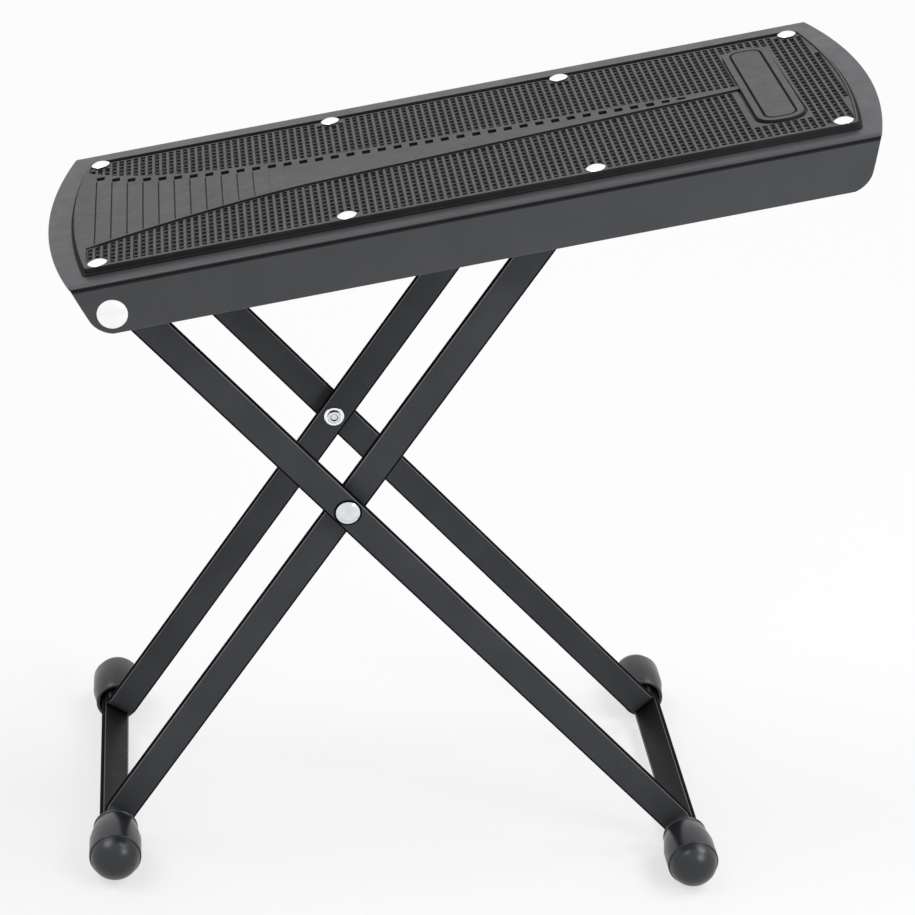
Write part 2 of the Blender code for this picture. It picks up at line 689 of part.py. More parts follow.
def build_pivot(parent, rivet_material, sleeve_material, side):
    tail_top = OUTER_LEG_INSIDE - GAP
    tail_low = tail_top - PIVOT_TAIL_HEIGHT
    head_base = TRAY_HALF_WIDTH + GAP
    profile = [(0, tail_low), (PIVOT_TAIL_RADIUS, tail_low), (PIVOT_TAIL_RADIUS, tail_top)]
    profile += [(PIVOT_SHANK_RADIUS, tail_top), (PIVOT_SHANK_RADIUS, head_base)]
    profile += domed_head(PIVOT_HEAD_RADIUS, head_base, PIVOT_HEAD_HEIGHT)
    rivet = side_name("pivot_rivet", side)
    place(rivet, turned_mesh(rivet, profile), parent, rivet_material, rotation=facing(side))
    bore = PIVOT_SHANK_RADIUS + GAP
    high = TRAY_HALF_WIDTH - TRAY_SHEET - GAP
    sleeve = side_name("pivot_sleeve", side)
    mesh = ring_mesh(sleeve, bore, bore + SLEEVE_WALL, OUTER_LEG_OUTSIDE + GAP, high)
    place(sleeve, mesh, parent, sleeve_material, rotation=facing(side))


# Legs


def strap_section(along, across, turned, half_width, side):
    """Section of the strap, its edges broken, where its run has turned by this angle from X towards the side."""
    edge = min(STRAP_EDGE, half_width / 2)
    thick = STRAP_HALF_THICKNESS
    corners = [(-half_width, edge - thick), (edge - half_width, -thick)]
    corners += [(half_width - edge, -thick), (half_width, edge - thick)]
    corners += [(-width, -depth) for width, depth in corners]
    points = []
    for width, depth in corners:
        x = along - depth * math.sin(turned)
        y = across + depth * math.cos(turned)
        points.append((x, side * y, width))
    return points


def leg_sections(outside, top, foot, side):
    """Sections of a leg from its rounded top, down its run, and round into the tab that the foot is pushed on."""
    middle = outside - STRAP_HALF_THICKNESS
    bend = STRAP_BEND_RADIUS + STRAP_HALF_THICKNESS
    tab = foot - TAB_HALF_STEP
    sections = []
    for angle in steps_between(0, math.pi / 2, 2 * ROUND_STEPS)[1:]:
        along = -top - STRAP_HALF_WIDTH * math.cos(angle)
        sections.append(strap_section(along, middle, 0, STRAP_HALF_WIDTH * math.sin(angle), side))
    for angle in steps_between(0, math.pi / 2, BEND_STEPS):
        along = tab - bend + bend * math.sin(angle)
        across = middle + bend - bend * math.cos(angle)
        sections.append(strap_section(along, across, angle, STRAP_HALF_WIDTH, side))
    sections.append(strap_section(tab, outside + TAB_REACH, math.pi / 2, STRAP_HALF_WIDTH, side))
    return sections


def build_leg(name, parent, material, side, outside, top, foot, top_bore):
    bm = bmesh.new()
    add_sections(bm, leg_sections(outside, top, foot, side))
    name = side_name(name, side)
    leg = place(name, finish_mesh(name, bm), parent, material)
    holes = bmesh.new()
    across = side * (outside - STRAP_HALF_THICKNESS)
    reach = STRAP_THICKNESS + OVERRUN
    add_drill(holes, CROSSING_SHANK_RADIUS + GAP, (0, across, 0), (0, 1, 0), reach)
    add_drill(holes, top_bore, (-top, across, 0), (0, 1, 0), reach)
    reshape(leg, holes, name + "_holes")


def build_cross_strap(name, parent, material, outside, foot):
    """A straight strap from foot to foot, under the turned-out tabs of the legs."""
    reach = outside + TAB_REACH
    along = foot + TAB_HALF_STEP
    bm = bmesh.new()
    add_sections(bm, [strap_section(along, end, math.pi / 2, STRAP_HALF_WIDTH, 1) for end in (-reach, reach)])
    place(name, finish_mesh(name, bm), parent, material)


def foot_profile(rim):
    """Profile of a foot, from the crown of its dome round its rim to the end of its bore."""
    shoulder = rim + FOOT_LENGTH - FOOT_DOME
    profile = [(0, rim + FOOT_LENGTH)]
    for angle in steps_between(0, math.pi / 2, ROUND_STEPS)[1:]:
        profile.append((FOOT_RADIUS * math.sin(angle), shoulder + FOOT_DOME * math.cos(angle)))
    profile += [(FOOT_RADIUS, rim + FOOT_TAPER), (FOOT_RIM_RADIUS, rim + FOOT_RIM_ROUND)]
    profile += [(FOOT_RIM_RADIUS - FOOT_RIM_ROUND, rim), (FOOT_BORE_RADIUS, rim)]
    return profile + [(FOOT_BORE_RADIUS, rim + FOOT_BORE_DEPTH), (0, rim + FOOT_BORE_DEPTH)]


def build_foot(name, parent, material, side, outside, foot):
    """A foot, pressed flat where it stands on the floor."""
    bm = turned_bmesh(foot_profile(outside + FOOT_STANDOFF), FACETS)
    turn = parent.rotation_euler.y
    down = Vector((math.sin(turn), side * math.cos(turn), 0))
    facet_down = Matrix.Rotation(math.atan2(down.y, down.x), 3, "Z")
    bmesh.ops.rotate(bm, verts=bm.verts, cent=(0, 0, 0), matrix=facet_down)
    for vert in bm.verts:
        pressed = vert.co.dot(down) - FOOT_AXIS_HEIGHT
        if pressed > 0:
            vert.co -= down * pressed
    name = side_name(name, side)
    place(name, finish_mesh(name, bm), parent, material, (foot, 0, 0), facing(side))


# Crossing rivets and latch rod


def build_crossing(parent, rivet_material, washer_material, side):
    washer_top = INNER_LEG_INSIDE - GAP
    washer_low = washer_top - TAIL_WASHER_THICKNESS
    tail_top = washer_low - GAP
    tail_low = tail_top - CROSSING_TAIL_HEIGHT
    dimple = CROSSING_TAIL_RADIUS * DIMPLE_SHARE
    head_base = OUTER_LEG_OUTSIDE + GAP
    profile = [(0, tail_low + CROSSING_TAIL_DIMPLE), (dimple, tail_low + CROSSING_TAIL_DIMPLE)]
    profile += [(dimple, tail_low), (CROSSING_TAIL_RADIUS, tail_low), (CROSSING_TAIL_RADIUS, tail_top)]
    profile += [(CROSSING_SHANK_RADIUS, tail_top), (CROSSING_SHANK_RADIUS, head_base)]
    profile += domed_head(CROSSING_HEAD_RADIUS, head_base, CROSSING_HEAD_HEIGHT)
    rivet = side_name("crossing_rivet", side)
    place(rivet, turned_mesh(rivet, profile), parent, rivet_material, rotation=facing(side))
    bore = CROSSING_SHANK_RADIUS + GAP
    spacing = side_name("spacing_washer", side)
    mesh = ring_mesh(spacing, bore, SPACING_WASHER_RADIUS, INNER_LEG_OUTSIDE + GAP, OUTER_LEG_INSIDE - GAP)
    place(spacing, mesh, parent, washer_material, rotation=facing(side))
    tail = side_name("tail_washer", side)
    mesh = ring_mesh(tail, bore, TAIL_WASHER_RADIUS, washer_low, washer_top)
    place(tail, mesh, parent, washer_material, rotation=facing(side))


def build_latch_rod(parent, material):
    shoulder = INNER_LEG_OUTSIDE + GAP
    end = shoulder + ROD_END_THICKNESS
    half = [(ROD_RADIUS, shoulder), (ROD_END_RADIUS, shoulder), (ROD_END_RADIUS, end), (0, end)]
    profile = [(radius, -height) for radius, height in reversed(half)] + half
    place("latch_rod", turned_mesh("latch_rod", profile), parent, material, (-CROSSING_TO_ROD, 0, 0), facing(1))


# Assembly


def build_platform(paint, steel, nickel):
    axis = tray_axis()
    build_tray(axis, paint)
    build_tread(axis, tread_rubber())
    build_tread_rivets(axis, nickel)
    for side in (-1, 1):
        build_rack(axis, paint, side)
        build_pivot(axis, nickel, steel, side)


def build_outer_frame(paint, steel, nickel, rubber):
    axis = outer_legs_axis()
    outside = OUTER_LEG_OUTSIDE
    foot = CROSSING_TO_OUTER_FOOT
    for side in (-1, 1):
        bore = PIVOT_SHANK_RADIUS + GAP
        build_leg("outer_leg", axis, paint, side, outside, CROSSING_TO_PIVOT, foot, bore)
        build_foot("outer_foot", axis, rubber, side, outside, foot)
        build_crossing(axis, nickel, steel, side)
    build_cross_strap("outer_cross_strap", axis, paint, outside, foot)


def build_inner_frame(paint, steel, rubber):
    axis = inner_legs_axis()
    outside = INNER_LEG_OUTSIDE
    foot = CROSSING_TO_INNER_FOOT
    for side in (-1, 1):
        build_leg("inner_leg", axis, paint, side, outside, CROSSING_TO_ROD, foot, ROD_RADIUS + GAP)
        build_foot("inner_foot", axis, rubber, side, outside, foot)
    build_cross_strap("inner_cross_strap", axis, paint, outside, foot)
    build_latch_rod(axis, steel)


def main():
    clear_scene()
    paint = black_paint()
    steel = plain_steel()
    nickel = bright_nickel()
    rubber = foot_rubber()
    build_platform(paint, steel, nickel)
    build_outer_frame(paint, steel, nickel, rubber)
    build_inner_frame(paint, steel, rubber)


main()
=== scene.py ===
"""Folding guitar footrest, dressed over its CAD model.

Lengths are in metres, in the frame of the CAD: X runs along the footrest from the platform's low end to
its high end, Y from front to rear, +Z up from the floor.
"""

import json
import math

import bmesh
import bpy
from mathutils import Matrix, Vector
from mathutils.geometry import delaunay_2d_cdt


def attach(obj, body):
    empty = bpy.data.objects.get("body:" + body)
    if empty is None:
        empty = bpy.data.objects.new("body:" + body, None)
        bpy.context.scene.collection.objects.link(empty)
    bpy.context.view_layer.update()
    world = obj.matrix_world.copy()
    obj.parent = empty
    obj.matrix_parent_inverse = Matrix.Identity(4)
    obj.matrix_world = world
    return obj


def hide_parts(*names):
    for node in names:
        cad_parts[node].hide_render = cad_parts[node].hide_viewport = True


# Tray: a sheet folded down along both long sides, its ends bowed, with a crease sunk at one step of each bend and
# a band of painted shade along it
TRAY_LENGTH = 0.300
TRAY_WIDTH = 0.129
TRAY_SHEET = 0.0015
TRAY_BEND_RADIUS = 0.002
TRAY_FLANGE_DEPTH = 0.0192
TRAY_END_BOW = 0.0092
TRAY_CORNER_RADIUS = 0.006
SHEET_EDGE_ROUND = 0.0005
CREASE_STEP = 6
# Stretches round each crease that take the dull paint as painted shade
CREASE_STRETCHES = (-2, -1, 0, 1)
CREASE_BELOW = 0.0004

# Tread: the rubber mat on the tray, a little nearer to its front, with depths measured from the mat's top
TREAD_ACROSS = -0.0032
TREAD_BOTTOM = 0.0
TREAD_TOP = 0.0025
TREAD_END_MARGIN = 0.0087
TREAD_END_BOW = 0.005
TREAD_SIDE_MARGIN = 0.0115
TREAD_CORNER_RADIUS = 0.003
TREAD_EDGE_ROUND = 0.0005
TREAD_BORDER = 0.0028
TREAD_HIGH_BORDER = 0.0019
RIBS_FROM_LOW_END = 0.015
RIBS_BELOW = 0.0005
RIB_PITCH = 0.00268
GROOVE_WIDTH = 0.00175
CROSSBAR_PITCH = 0.0035
CROSSBAR_WIDTH = 0.0009
CROSSBAR_BELOW = 0.0011
PIT_BELOW = 0.0015
WALL_DRAFT = 0.00012
GUTTER_WIDTH = 0.0019
GUTTER_BELOW = 0.0013
MOAT_WIDTH = 0.0008
MOAT_BELOW = 0.0013
MOAT_FROM_LOW_END = 0.018
RIB_CLEARANCE = 0.0003
SKIRT_WIDTH = 0.0010
REAR_LIP = 0.0002
SKIRT_BELOW = 0.0019

# Tongue: its edges where it meets the plate, and how far they spread and then flare towards the low end
RIDGE_REAR_EDGE = 0.0042
RIDGE_FRONT_EDGE = -0.0014
RIDGE_REAR_SPREAD = 0.0143
RIDGE_FRONT_SPREAD = 0.0185
TONGUE_REAR_FLARE = 0.023
TONGUE_REAR_FADE = 0.029
TONGUE_FRONT_FLARE = 0.0157
TONGUE_FRONT_FADE = 0.085
TONGUE_FRONT_CURVE = 1.7

# Short slots along the tongue's rear edge, and the fine lines that run from them to its front edge
SLOT_PITCH = 0.00576
SLOT_LENGTH = 0.003
SLOT_WIDTH = 0.0034
SLOT_MARGIN = 0.0018
SLOTS_FROM_LOW_END = 0.0179
SLOTS_TO_PLATE = 0.0195
SLOT_BELOW = 0.0012
SLOT_FRONT_BELOW = 0.0004
LINE_COUNT = 14
LINE_STRONG_COUNT = 5
LINE_WIDTH = 0.0005
LINE_BELOW = 0.0004
LINE_WALL_SHARE = 0.8

# Raised bare plate across the tread, near its high end and a little to the rear
PLATE_FROM_HIGH_END = 0.0377
PLATE_ACROSS = 0.0022
PLATE_WIDTH = 0.0171
PLATE_LENGTH = 0.0778
PLATE_CORNER_RADIUS = 0.0068
PLATE_RAISE = 0.0004
PLATE_FRAME_INSET = 0.0024
PLATE_FRAME_WIDTH = 0.0010
PLATE_FRAME_BELOW = 0.0007

# Tread rivets, in two rows
TREAD_RIVET_COLUMNS = 4
TREAD_RIVET_END_INSET = 0.0192
TREAD_RIVET_SIDE_INSET = 0.016
TREAD_RIVET_HEAD_RADIUS = 0.0034
TREAD_RIVET_HEAD_HEIGHT = 0.0012
TREAD_RIVET_SHANK_RADIUS = 0.0015
TREAD_RIVET_TAIL_RADIUS = 0.0024
TREAD_RIVET_TAIL_HEIGHT = 0.0009
TREAD_RIVET_LAND = 0.0003
RACKED_COLUMNS = (3, 4)
RACK_SHEET = 0.0015
GAP = 0.0003

# Strap steel that the legs and their cross straps are cut from
STRAP_WIDTH = 0.012
STRAP_THICKNESS = 0.0025
STRAP_EDGE_ROUND = 0.0009
STRAP_BEND_RADIUS = 0.0025
STRAP_TIP_START = math.radians(8)

# Legs, measured along each strap from the rivet where the outer and the inner pair cross
CROSSING_TO_PIVOT = 0.121
CROSSING_TO_ROD = 0.143
OUTER_LEG_OUTSIDE = 0.04515
INNER_LEG_OUTSIDE = 0.04005
PIVOT_FROM_LOW_END = 0.0214
PIVOT_BELOW_TOP = 0.0117

# Pivot and crossing rivets, sleeves and washers
PIVOT_HEAD_RADIUS = 0.0053
PIVOT_HEAD_HEIGHT = 0.0017
PIVOT_SHANK_RADIUS = 0.0025
PIVOT_TAIL_RADIUS = 0.0036
PIVOT_TAIL_HEIGHT = 0.0009
SLEEVE_WALL = 0.0016
CROSSING_HEAD_RADIUS = 0.0051
CROSSING_HEAD_HEIGHT = 0.0018
CROSSING_SHANK_RADIUS = 0.0021
CROSSING_TAIL_RADIUS = 0.0026
CROSSING_TAIL_HEIGHT = 0.0009
CROSSING_TAIL_DIMPLE = 0.0005
SPACING_WASHER_RADIUS = 0.005
TAIL_WASHER_RADIUS = 0.0039
TAIL_WASHER_THICKNESS = 0.0008
TURNED_EDGE = 0.0002
# Width of the ring of painted shade round the crossing rivet's head, and how many steps take it
HEAD_OUTLINE = 0.0007
HEAD_PAINTED_SHADE_STEPS = 3

# Latch rod
ROD_RADIUS = 0.0025
ROD_END_RADIUS = 0.0033
ROD_END_THICKNESS = 0.0006

# Rubber feet, pushed over the strap ends
FOOT_AXIS_HEIGHT = 0.0095592
FOOT_BORE_RADIUS = 0.0068592
FOOT_RIM_RADIUS = 0.0083592
FOOT_RADIUS = 0.0097592
FOOT_LENGTH = 0.0283
FOOT_TAPER = 0.010
FOOT_DOME = 0.008
FOOT_BALL_RADIUS = 0.0093
FOOT_SHOULDER_ROUND = 0.0004
FOOT_BEAD_ROUND = 0.0008
FOOT_BEAD_TURN = math.radians(60)
FOOT_NECK = 0.0005
FOOT_BORE_DEPTH = 0.0145
FOOT_STANDOFF = 0.0058
TAB_REACH = 0.020

# Facets round turned pieces, steps along arcs and bows, limits for smooth shading and for joined points
TURNED_FACETS = 64
SMALL_FACETS = 40
FEW_STEPS = 3
ROUND_STEPS = 4
ARC_STEPS = 8
BOW_STEPS = 28
RUN_STEPS = 120
SMOOTH_ANGLE = math.radians(32)
MERGE_DISTANCE = 1e-7
RELIEF_CLOSENESS = 1e-8
TRIANGLES_INSIDE = 1

# Finishes of the mat and of the straps, in the order of their materials: the mat's hollows, walls and sides and
# the straps' edges take painted shade, and the straps' thin lines are painted highlights; and how level the mat's
# tops lie
MAT_TOP, MAT_BARS, MAT_PAINTED_SHADE = range(3)
STRAP_FACE, STRAP_EDGE_PAINTED_SHADE, STRAP_PAINTED_HIGHLIGHT = range(3)
MAT_LEVEL = 0.75

# Paints and rubbers, each by its dark and light tone, its least and most roughness, and its shine
PAINTS = {
    "paint_satin_black": ((0.031, 0.033, 0.037), (0.040, 0.042, 0.047), 0.36, 0.46, 0.5),
    "paint_satin_straps": ((0.042, 0.045, 0.050), (0.055, 0.058, 0.063), 0.4, 0.5, 0.12),
    # painted shade: on the straps' edges and on the crossing rivets' dark steps
    "paint_black_painted_shade_deep": ((0.004, 0.004, 0.005), (0.007, 0.007, 0.008), 0.6, 0.7, 0.02),
    # painted shade: along the tray's creases and on the cross straps' broad faces
    "paint_black_painted_shade_dull": ((0.008, 0.008, 0.009), (0.011, 0.011, 0.012), 0.5, 0.6, 0.2),
    # painted highlight: thin light lines along the straps' lit edges
    "paint_painted_highlight_edge": ((0.10, 0.10, 0.10), (0.16, 0.16, 0.16), 0.3, 0.4, 0.5),
}
RUBBERS = {
    "tread_rubber_top": ((0.061, 0.061, 0.061), (0.077, 0.077, 0.077), 0.55, 0.7, 0.4),
    "tread_rubber_bars": ((0.066, 0.066, 0.067), (0.082, 0.082, 0.083), 0.6, 0.75, 0.3),
    # painted shade: the mat's hollows, steep walls, skirt, sides and bottom
    "tread_rubber_painted_shade": ((0.017, 0.017, 0.017), (0.024, 0.024, 0.024), 0.6, 0.75, 0.1),
    "foot_rubber_smooth": ((0.008, 0.009, 0.012), (0.012, 0.014, 0.017), 0.26, 0.34, 0.5),
}

# Metals, each by its dark and light tone, its least and most roughness, and the depth of its grain
METALS = {
    "bright_nickel": ((0.94, 0.94, 0.94), (0.98, 0.98, 0.98), 0.16, 0.24, 0.00001),
    "polished_steel": ((0.64, 0.67, 0.71), (0.80, 0.83, 0.86), 0.14, 0.24, 0.00002),
    "plated_steel": ((0.50, 0.50, 0.49), (0.62, 0.62, 0.61), 0.3, 0.42, 0.00003),
}

# Unevenness: scales of a finish's tone, gloss and grain, and the grain's detail and strength
PAINT_GRAIN = (45, 160, 1400, 2, 0.5)
RUBBER_GRAIN = (70, 300, 2600, 3, 0.5)
METAL_GRAIN = (220, 500, 1800, 3, 0.4)
GRAIN_DEPTH = 0.00003
NOISE_DETAIL = 4
NOISE_ROUGHNESS = 0.55
NOISE_LOW = 0.3
NOISE_HIGH = 0.7

# Camera of the photograph, by its lens on a 36 mm sensor, its place and two directions
CAMERA_LENS = 111.60
CAMERA_SENSOR = 36
CAMERA_PLACE = Vector((-0.12027, -0.96282, 0.61432))
CAMERA_FORWARD = Vector((0.1190, 0.8929, -0.4342))
CAMERA_RIGHT = Vector((0.9928, -0.1003, 0.0657))

# Light and floor, the suns by their strength and the direction they stand in
SUNS = ((1.0, Vector((0.6, 0.1, 1.0))), (0.8, Vector((-0.6, 0.1, 1.0))))
SUN_ANGLE = math.radians(30)
LAMP_POWER = 1.3
LAMP_SIZE = 0.3
LAMP_PLACE = Vector((0.42, -0.42, 0.52))
LAMP_TOWARDS = Vector((0.16, -0.06, 0.26))
WORLD_COLOUR = (1, 1, 1, 1)
WORLD_WHITE = 1.0
WORLD_FILL = 0.55
FLOOR_SIZE = 20
FLOOR_GLOW = 0.65
FLOOR_DARK = (0.86, 0.86, 0.86)
FLOOR_LIGHT = (0.87, 0.87, 0.87)
FLOOR_MOTTLE = 3
FLOOR_ROUGHNESS = 0.9
FLOOR_SHINE = 0.1

# Places that follow from the sizes above
TRAY_HALF_WIDTH = TRAY_WIDTH / 2
TREAD_HALF_WIDTH = TRAY_HALF_WIDTH - TREAD_SIDE_MARGIN
RIVET_ROW = TRAY_HALF_WIDTH - TREAD_RIVET_SIDE_INSET
PLATE_MIDDLE = TRAY_LENGTH - PLATE_FROM_HIGH_END
PLATE_LOW_END = PLATE_MIDDLE - PLATE_WIDTH / 2
PLATE_HIGH_END = PLATE_MIDDLE + PLATE_WIDTH / 2
OUTER_LEG_INSIDE = OUTER_LEG_OUTSIDE - STRAP_THICKNESS
INNER_LEG_INSIDE = INNER_LEG_OUTSIDE - STRAP_THICKNESS
TAB_HALF_STEP = (STRAP_THICKNESS + GAP) / 2
RACK_TOP = -TRAY_SHEET - GAP

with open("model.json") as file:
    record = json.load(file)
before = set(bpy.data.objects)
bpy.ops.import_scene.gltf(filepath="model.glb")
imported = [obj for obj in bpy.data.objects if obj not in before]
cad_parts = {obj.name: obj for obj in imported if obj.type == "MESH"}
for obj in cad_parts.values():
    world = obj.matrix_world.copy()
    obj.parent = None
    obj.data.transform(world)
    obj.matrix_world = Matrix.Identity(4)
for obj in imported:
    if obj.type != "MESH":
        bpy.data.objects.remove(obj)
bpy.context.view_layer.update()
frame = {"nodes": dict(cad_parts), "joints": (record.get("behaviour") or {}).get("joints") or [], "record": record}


# Frames of the bodies, read from the model's joints and faces


def record_place(entries, name):
    """The place of a joint or a mount, by its name."""
    return Vector(next(entry for entry in entries if entry["name"] == name)["pos_m"])


def frame_along(origin, along):
    """A frame with X along the given direction, Y to the rear and Z square to both."""
    across = Vector((0, 1, 0))
    along = along.normalized()
    turned = Matrix((along, across, along.cross(across))).transposed()
    return Matrix.Translation(origin) @ turned.to_4x4()


def tray_frame():
    """On the tray's top, at the middle of its low end."""
    mount = next(entry for entry in frame["record"]["mounts"] if entry["name"] == "tread_face")
    up = Vector(mount["axis"])
    along = Vector((up.z, 0, -up.x))
    pivot = record_place(frame["joints"], "platform_tilt")
    return frame_along(pivot - along * PIVOT_FROM_LOW_END + up * PIVOT_BELOW_TOP, along)


def leg_frame(floor_mount):
    """On the crossing, with X down the leg; also tells how far down the leg its foot is."""
    crossing = record_place(frame["joints"], "leg_fold")
    foot = record_place(frame["record"]["mounts"], floor_mount)
    run = Vector((foot.x - crossing.x, 0, FOOT_AXIS_HEIGHT - crossing.z))
    return frame_along(crossing, run), run.length


TRAY_FRAME = tray_frame()
TREAD_FRAME = TRAY_FRAME @ Matrix.Translation((0, TREAD_ACROSS, 0))
OUTER_FRAME, OUTER_FOOT_AT = leg_frame("outer_foot_front_floor")
INNER_FRAME, INNER_FOOT_AT = leg_frame("inner_foot_front_floor")


# Helpers for profiles, meshes and objects


def steps_between(start, end, steps):
    return [start + (end - start) * step / steps for step in range(steps + 1)]


def arc(centre, radius, start, end, steps):
    """Places along an arc in a plane, angles in radians."""
    angles = steps_between(start, end, steps)
    return [(centre[0] + radius * math.cos(angle), centre[1] + radius * math.sin(angle)) for angle in angles]


def bow_radius(bow, half_width):
    """Radius of an arc that bows this far over this half width."""
    return (half_width**2 + bow**2) / (2 * bow)


def bow_at(radius, across):
    """How far an end bowed to this radius has drawn in, at this distance from the middle line."""
    return radius - math.sqrt(radius**2 - across**2)


def lofted(sections, finish):
    """A closed solid through sections of equally many points, where finish picks each face's material."""
    bm = bmesh.new()
    loops = [[bm.verts.new(point) for point in section] for section in sections]
    for stretch, (first, second) in enumerate(zip(loops, loops[1:])):
        count = len(first)
        for index in range(count):
            following = (index + 1) % count
            face = bm.faces.new((first[index], first[following], second[following], second[index]))
            face.material_index = finish(stretch, index)
    bm.faces.new(reversed(loops[0]))
    bm.faces.new(loops[-1])
    return bm


def add_circle(bm, radius, height, facets):
    turns = [2 * math.pi * step / facets for step in range(facets)]
    return [bm.verts.new((radius * math.cos(turn), radius * math.sin(turn), height)) for turn in turns]


def turned(profile, facets=TURNED_FACETS, dark=()):
    """A solid turned round Z from (radius, height) points, with its second material, painted shade, on the dark
    steps.
    """
    bm = bmesh.new()
    rings = []
    for radius, height in profile:
        on_axis = radius == 0
        rings.append([bm.verts.new((0, 0, height))] if on_axis else add_circle(bm, radius, height, facets))
    for index, (below, above) in enumerate(zip(rings, rings[1:])):
        for step in range(facets):
            following = (step + 1) % facets
            corners = [below[0]] if len(below) == 1 else [below[step], below[following]]
            corners += [above[0]] if len(above) == 1 else [above[following], above[step]]
            bm.faces.new(corners).material_index = 1 if index in dark else 0
    return bm


def ring(inner, outer, low, high):
    """A washer or sleeve round Z with its outer edges broken."""
    edge = TURNED_EDGE
    profile = [(inner, low), (outer - edge, low), (outer, low + edge)]
    profile += [(outer, high - edge), (outer - edge, high), (inner, high)]
    bm = bmesh.new()
    rings = [add_circle(bm, radius, height, TURNED_FACETS) for radius, height in profile]
    for index, below in enumerate(rings):
        above = rings[(index + 1) % len(rings)]
        for step in range(TURNED_FACETS):
            following = (step + 1) % TURNED_FACETS
            bm.faces.new((below[step], below[following], above[following], above[step]))
    return bm


def flat_tail(radius, low, top, shank):
    """Profile of a rivet's flat tail with a broken edge, as far as the shank that stands on it."""
    return [(0, low), (radius - TURNED_EDGE, low), (radius, low + TURNED_EDGE), (radius, top), (shank, top)]


def dome(radius, base, height, edge):
    """Profile of a domed head from its rim to its crown, with a short upright edge."""
    rise = height - edge
    ball = (radius**2 + rise**2) / (2 * rise)
    points = [(radius, base), (radius, base + edge)]
    for angle in steps_between(math.asin(radius / ball), 0, ARC_STEPS)[1:-1]:
        points.append((ball * math.sin(angle), base + height - ball * (1 - math.cos(angle))))
    return points + [(0, base + height)]


def facing(side):
    """Turns a piece's +Z outwards, to the rear for side 1 and to the front for side -1."""
    return Matrix.Rotation(-side * math.pi / 2, 4, "X")


def side_name(name, side):
    return name + ("_rear" if side > 0 else "_front")


def add_object(name, data):
    item = bpy.data.objects.new(name, data)
    bpy.context.scene.collection.objects.link(item)
    return item


def add_piece(name, bm, matrix, materials):
    """Puts a mesh in place as a piece, with the materials that its faces point to."""
    bmesh.ops.remove_doubles(bm, verts=bm.verts, dist=MERGE_DISTANCE)
    bmesh.ops.dissolve_degenerate(bm, edges=bm.edges, dist=MERGE_DISTANCE)
    bmesh.ops.recalc_face_normals(bm, faces=bm.faces)
    bm.transform(matrix)
    mesh = bpy.data.meshes.new(name)
    bm.to_mesh(mesh)
    bm.free()
    mesh.shade_smooth()
    mesh.set_sharp_from_angle(angle=SMOOTH_ANGLE)
    for material in materials:
        mesh.materials.append(material)
    return add_object(name, mesh)


def dress(piece, body, node):
    """Rides the piece on its body, in the place of a CAD node, which it hides."""
    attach(piece, body)
    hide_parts(node)


# Materials


def new_material(name):
    material = bpy.data.materials.new(name)
    material.use_nodes = True
    return material, material.node_tree.nodes["Principled BSDF"]


def noise(material, scale, detail=NOISE_DETAIL):
    """A noise texture in the object's own coordinates."""
    nodes = material.node_tree.nodes
    place = nodes.new("ShaderNodeTexCoord")
    texture = nodes.new("ShaderNodeTexNoise")
    texture.inputs["Scale"].default_value = scale
    texture.inputs["Detail"].default_value = detail
    texture.inputs["Roughness"].default_value = NOISE_ROUGHNESS
    material.node_tree.links.new(place.outputs["Object"], texture.inputs["Vector"])
    return texture.outputs["Fac"]


def spread(material, value, low, high, socket):
    """Feeds a 0..1 value, stretched round its middle, into a socket as a number from low to high."""
    node = material.node_tree.nodes.new("ShaderNodeMapRange")
    node.inputs["From Min"].default_value = NOISE_LOW
    node.inputs["From Max"].default_value = NOISE_HIGH
    node.inputs["To Min"].default_value = low
    node.inputs["To Max"].default_value = high
    material.node_tree.links.new(value, node.inputs["Value"])
    material.node_tree.links.new(node.outputs["Result"], socket)


def tint(material, value, dark, light, socket):
    """Feeds a colour between dark and light, chosen by a 0..1 value, into a socket."""
    node = material.node_tree.nodes.new("ShaderNodeValToRGB")
    node.color_ramp.elements[0].position = NOISE_LOW
    node.color_ramp.elements[1].position = NOISE_HIGH
    node.color_ramp.elements[0].color = (*dark, 1)
    node.color_ramp.elements[1].color = (*light, 1)
    material.node_tree.links.new(value, node.inputs["Fac"])
    material.node_tree.links.new(node.outputs["Color"], socket)


def bump(material, shader, value, distance, strength):
    """Roughens a surface by a 0..1 value, as if it stood up by this distance."""
    node = material.node_tree.nodes.new("ShaderNodeBump")
    node.inputs["Distance"].default_value = distance
    node.inputs["Strength"].default_value = strength
    material.node_tree.links.new(value, node.inputs["Height"])
    material.node_tree.links.new(node.outputs["Normal"], shader.inputs["Normal"])


def make_uneven(name, look, grain, depth):
    """A finish that is a little uneven in tone and gloss, with a fine grain."""
    dark, light, rough_low, rough_high = look
    tone_scale, gloss_scale, grain_scale, detail, strength = grain
    material, shader = new_material(name)
    tint(material, noise(material, tone_scale), dark, light, shader.inputs["Base Color"])
    spread(material, noise(material, gloss_scale), rough_low, rough_high, shader.inputs["Roughness"])
    bump(material, shader, noise(material, grain_scale, detail), depth, strength)
    return material, shader


def make_coat(name, finish, grain):
    """Satin powder coat with a fine orange peel, or moulded rubber with a fine matt grain."""
    *look, shine = finish
    material, shader = make_uneven(name, look, grain, GRAIN_DEPTH)
    shader.inputs["Specular IOR Level"].default_value = shine
    return material


def make_metal(name, finish):
    """Plated metal with a faint uneven polish."""
    *look, depth = finish
    material, shader = make_uneven(name, look, METAL_GRAIN, depth)
    shader.inputs["Metallic"].default_value = 1
    return material


# Tray


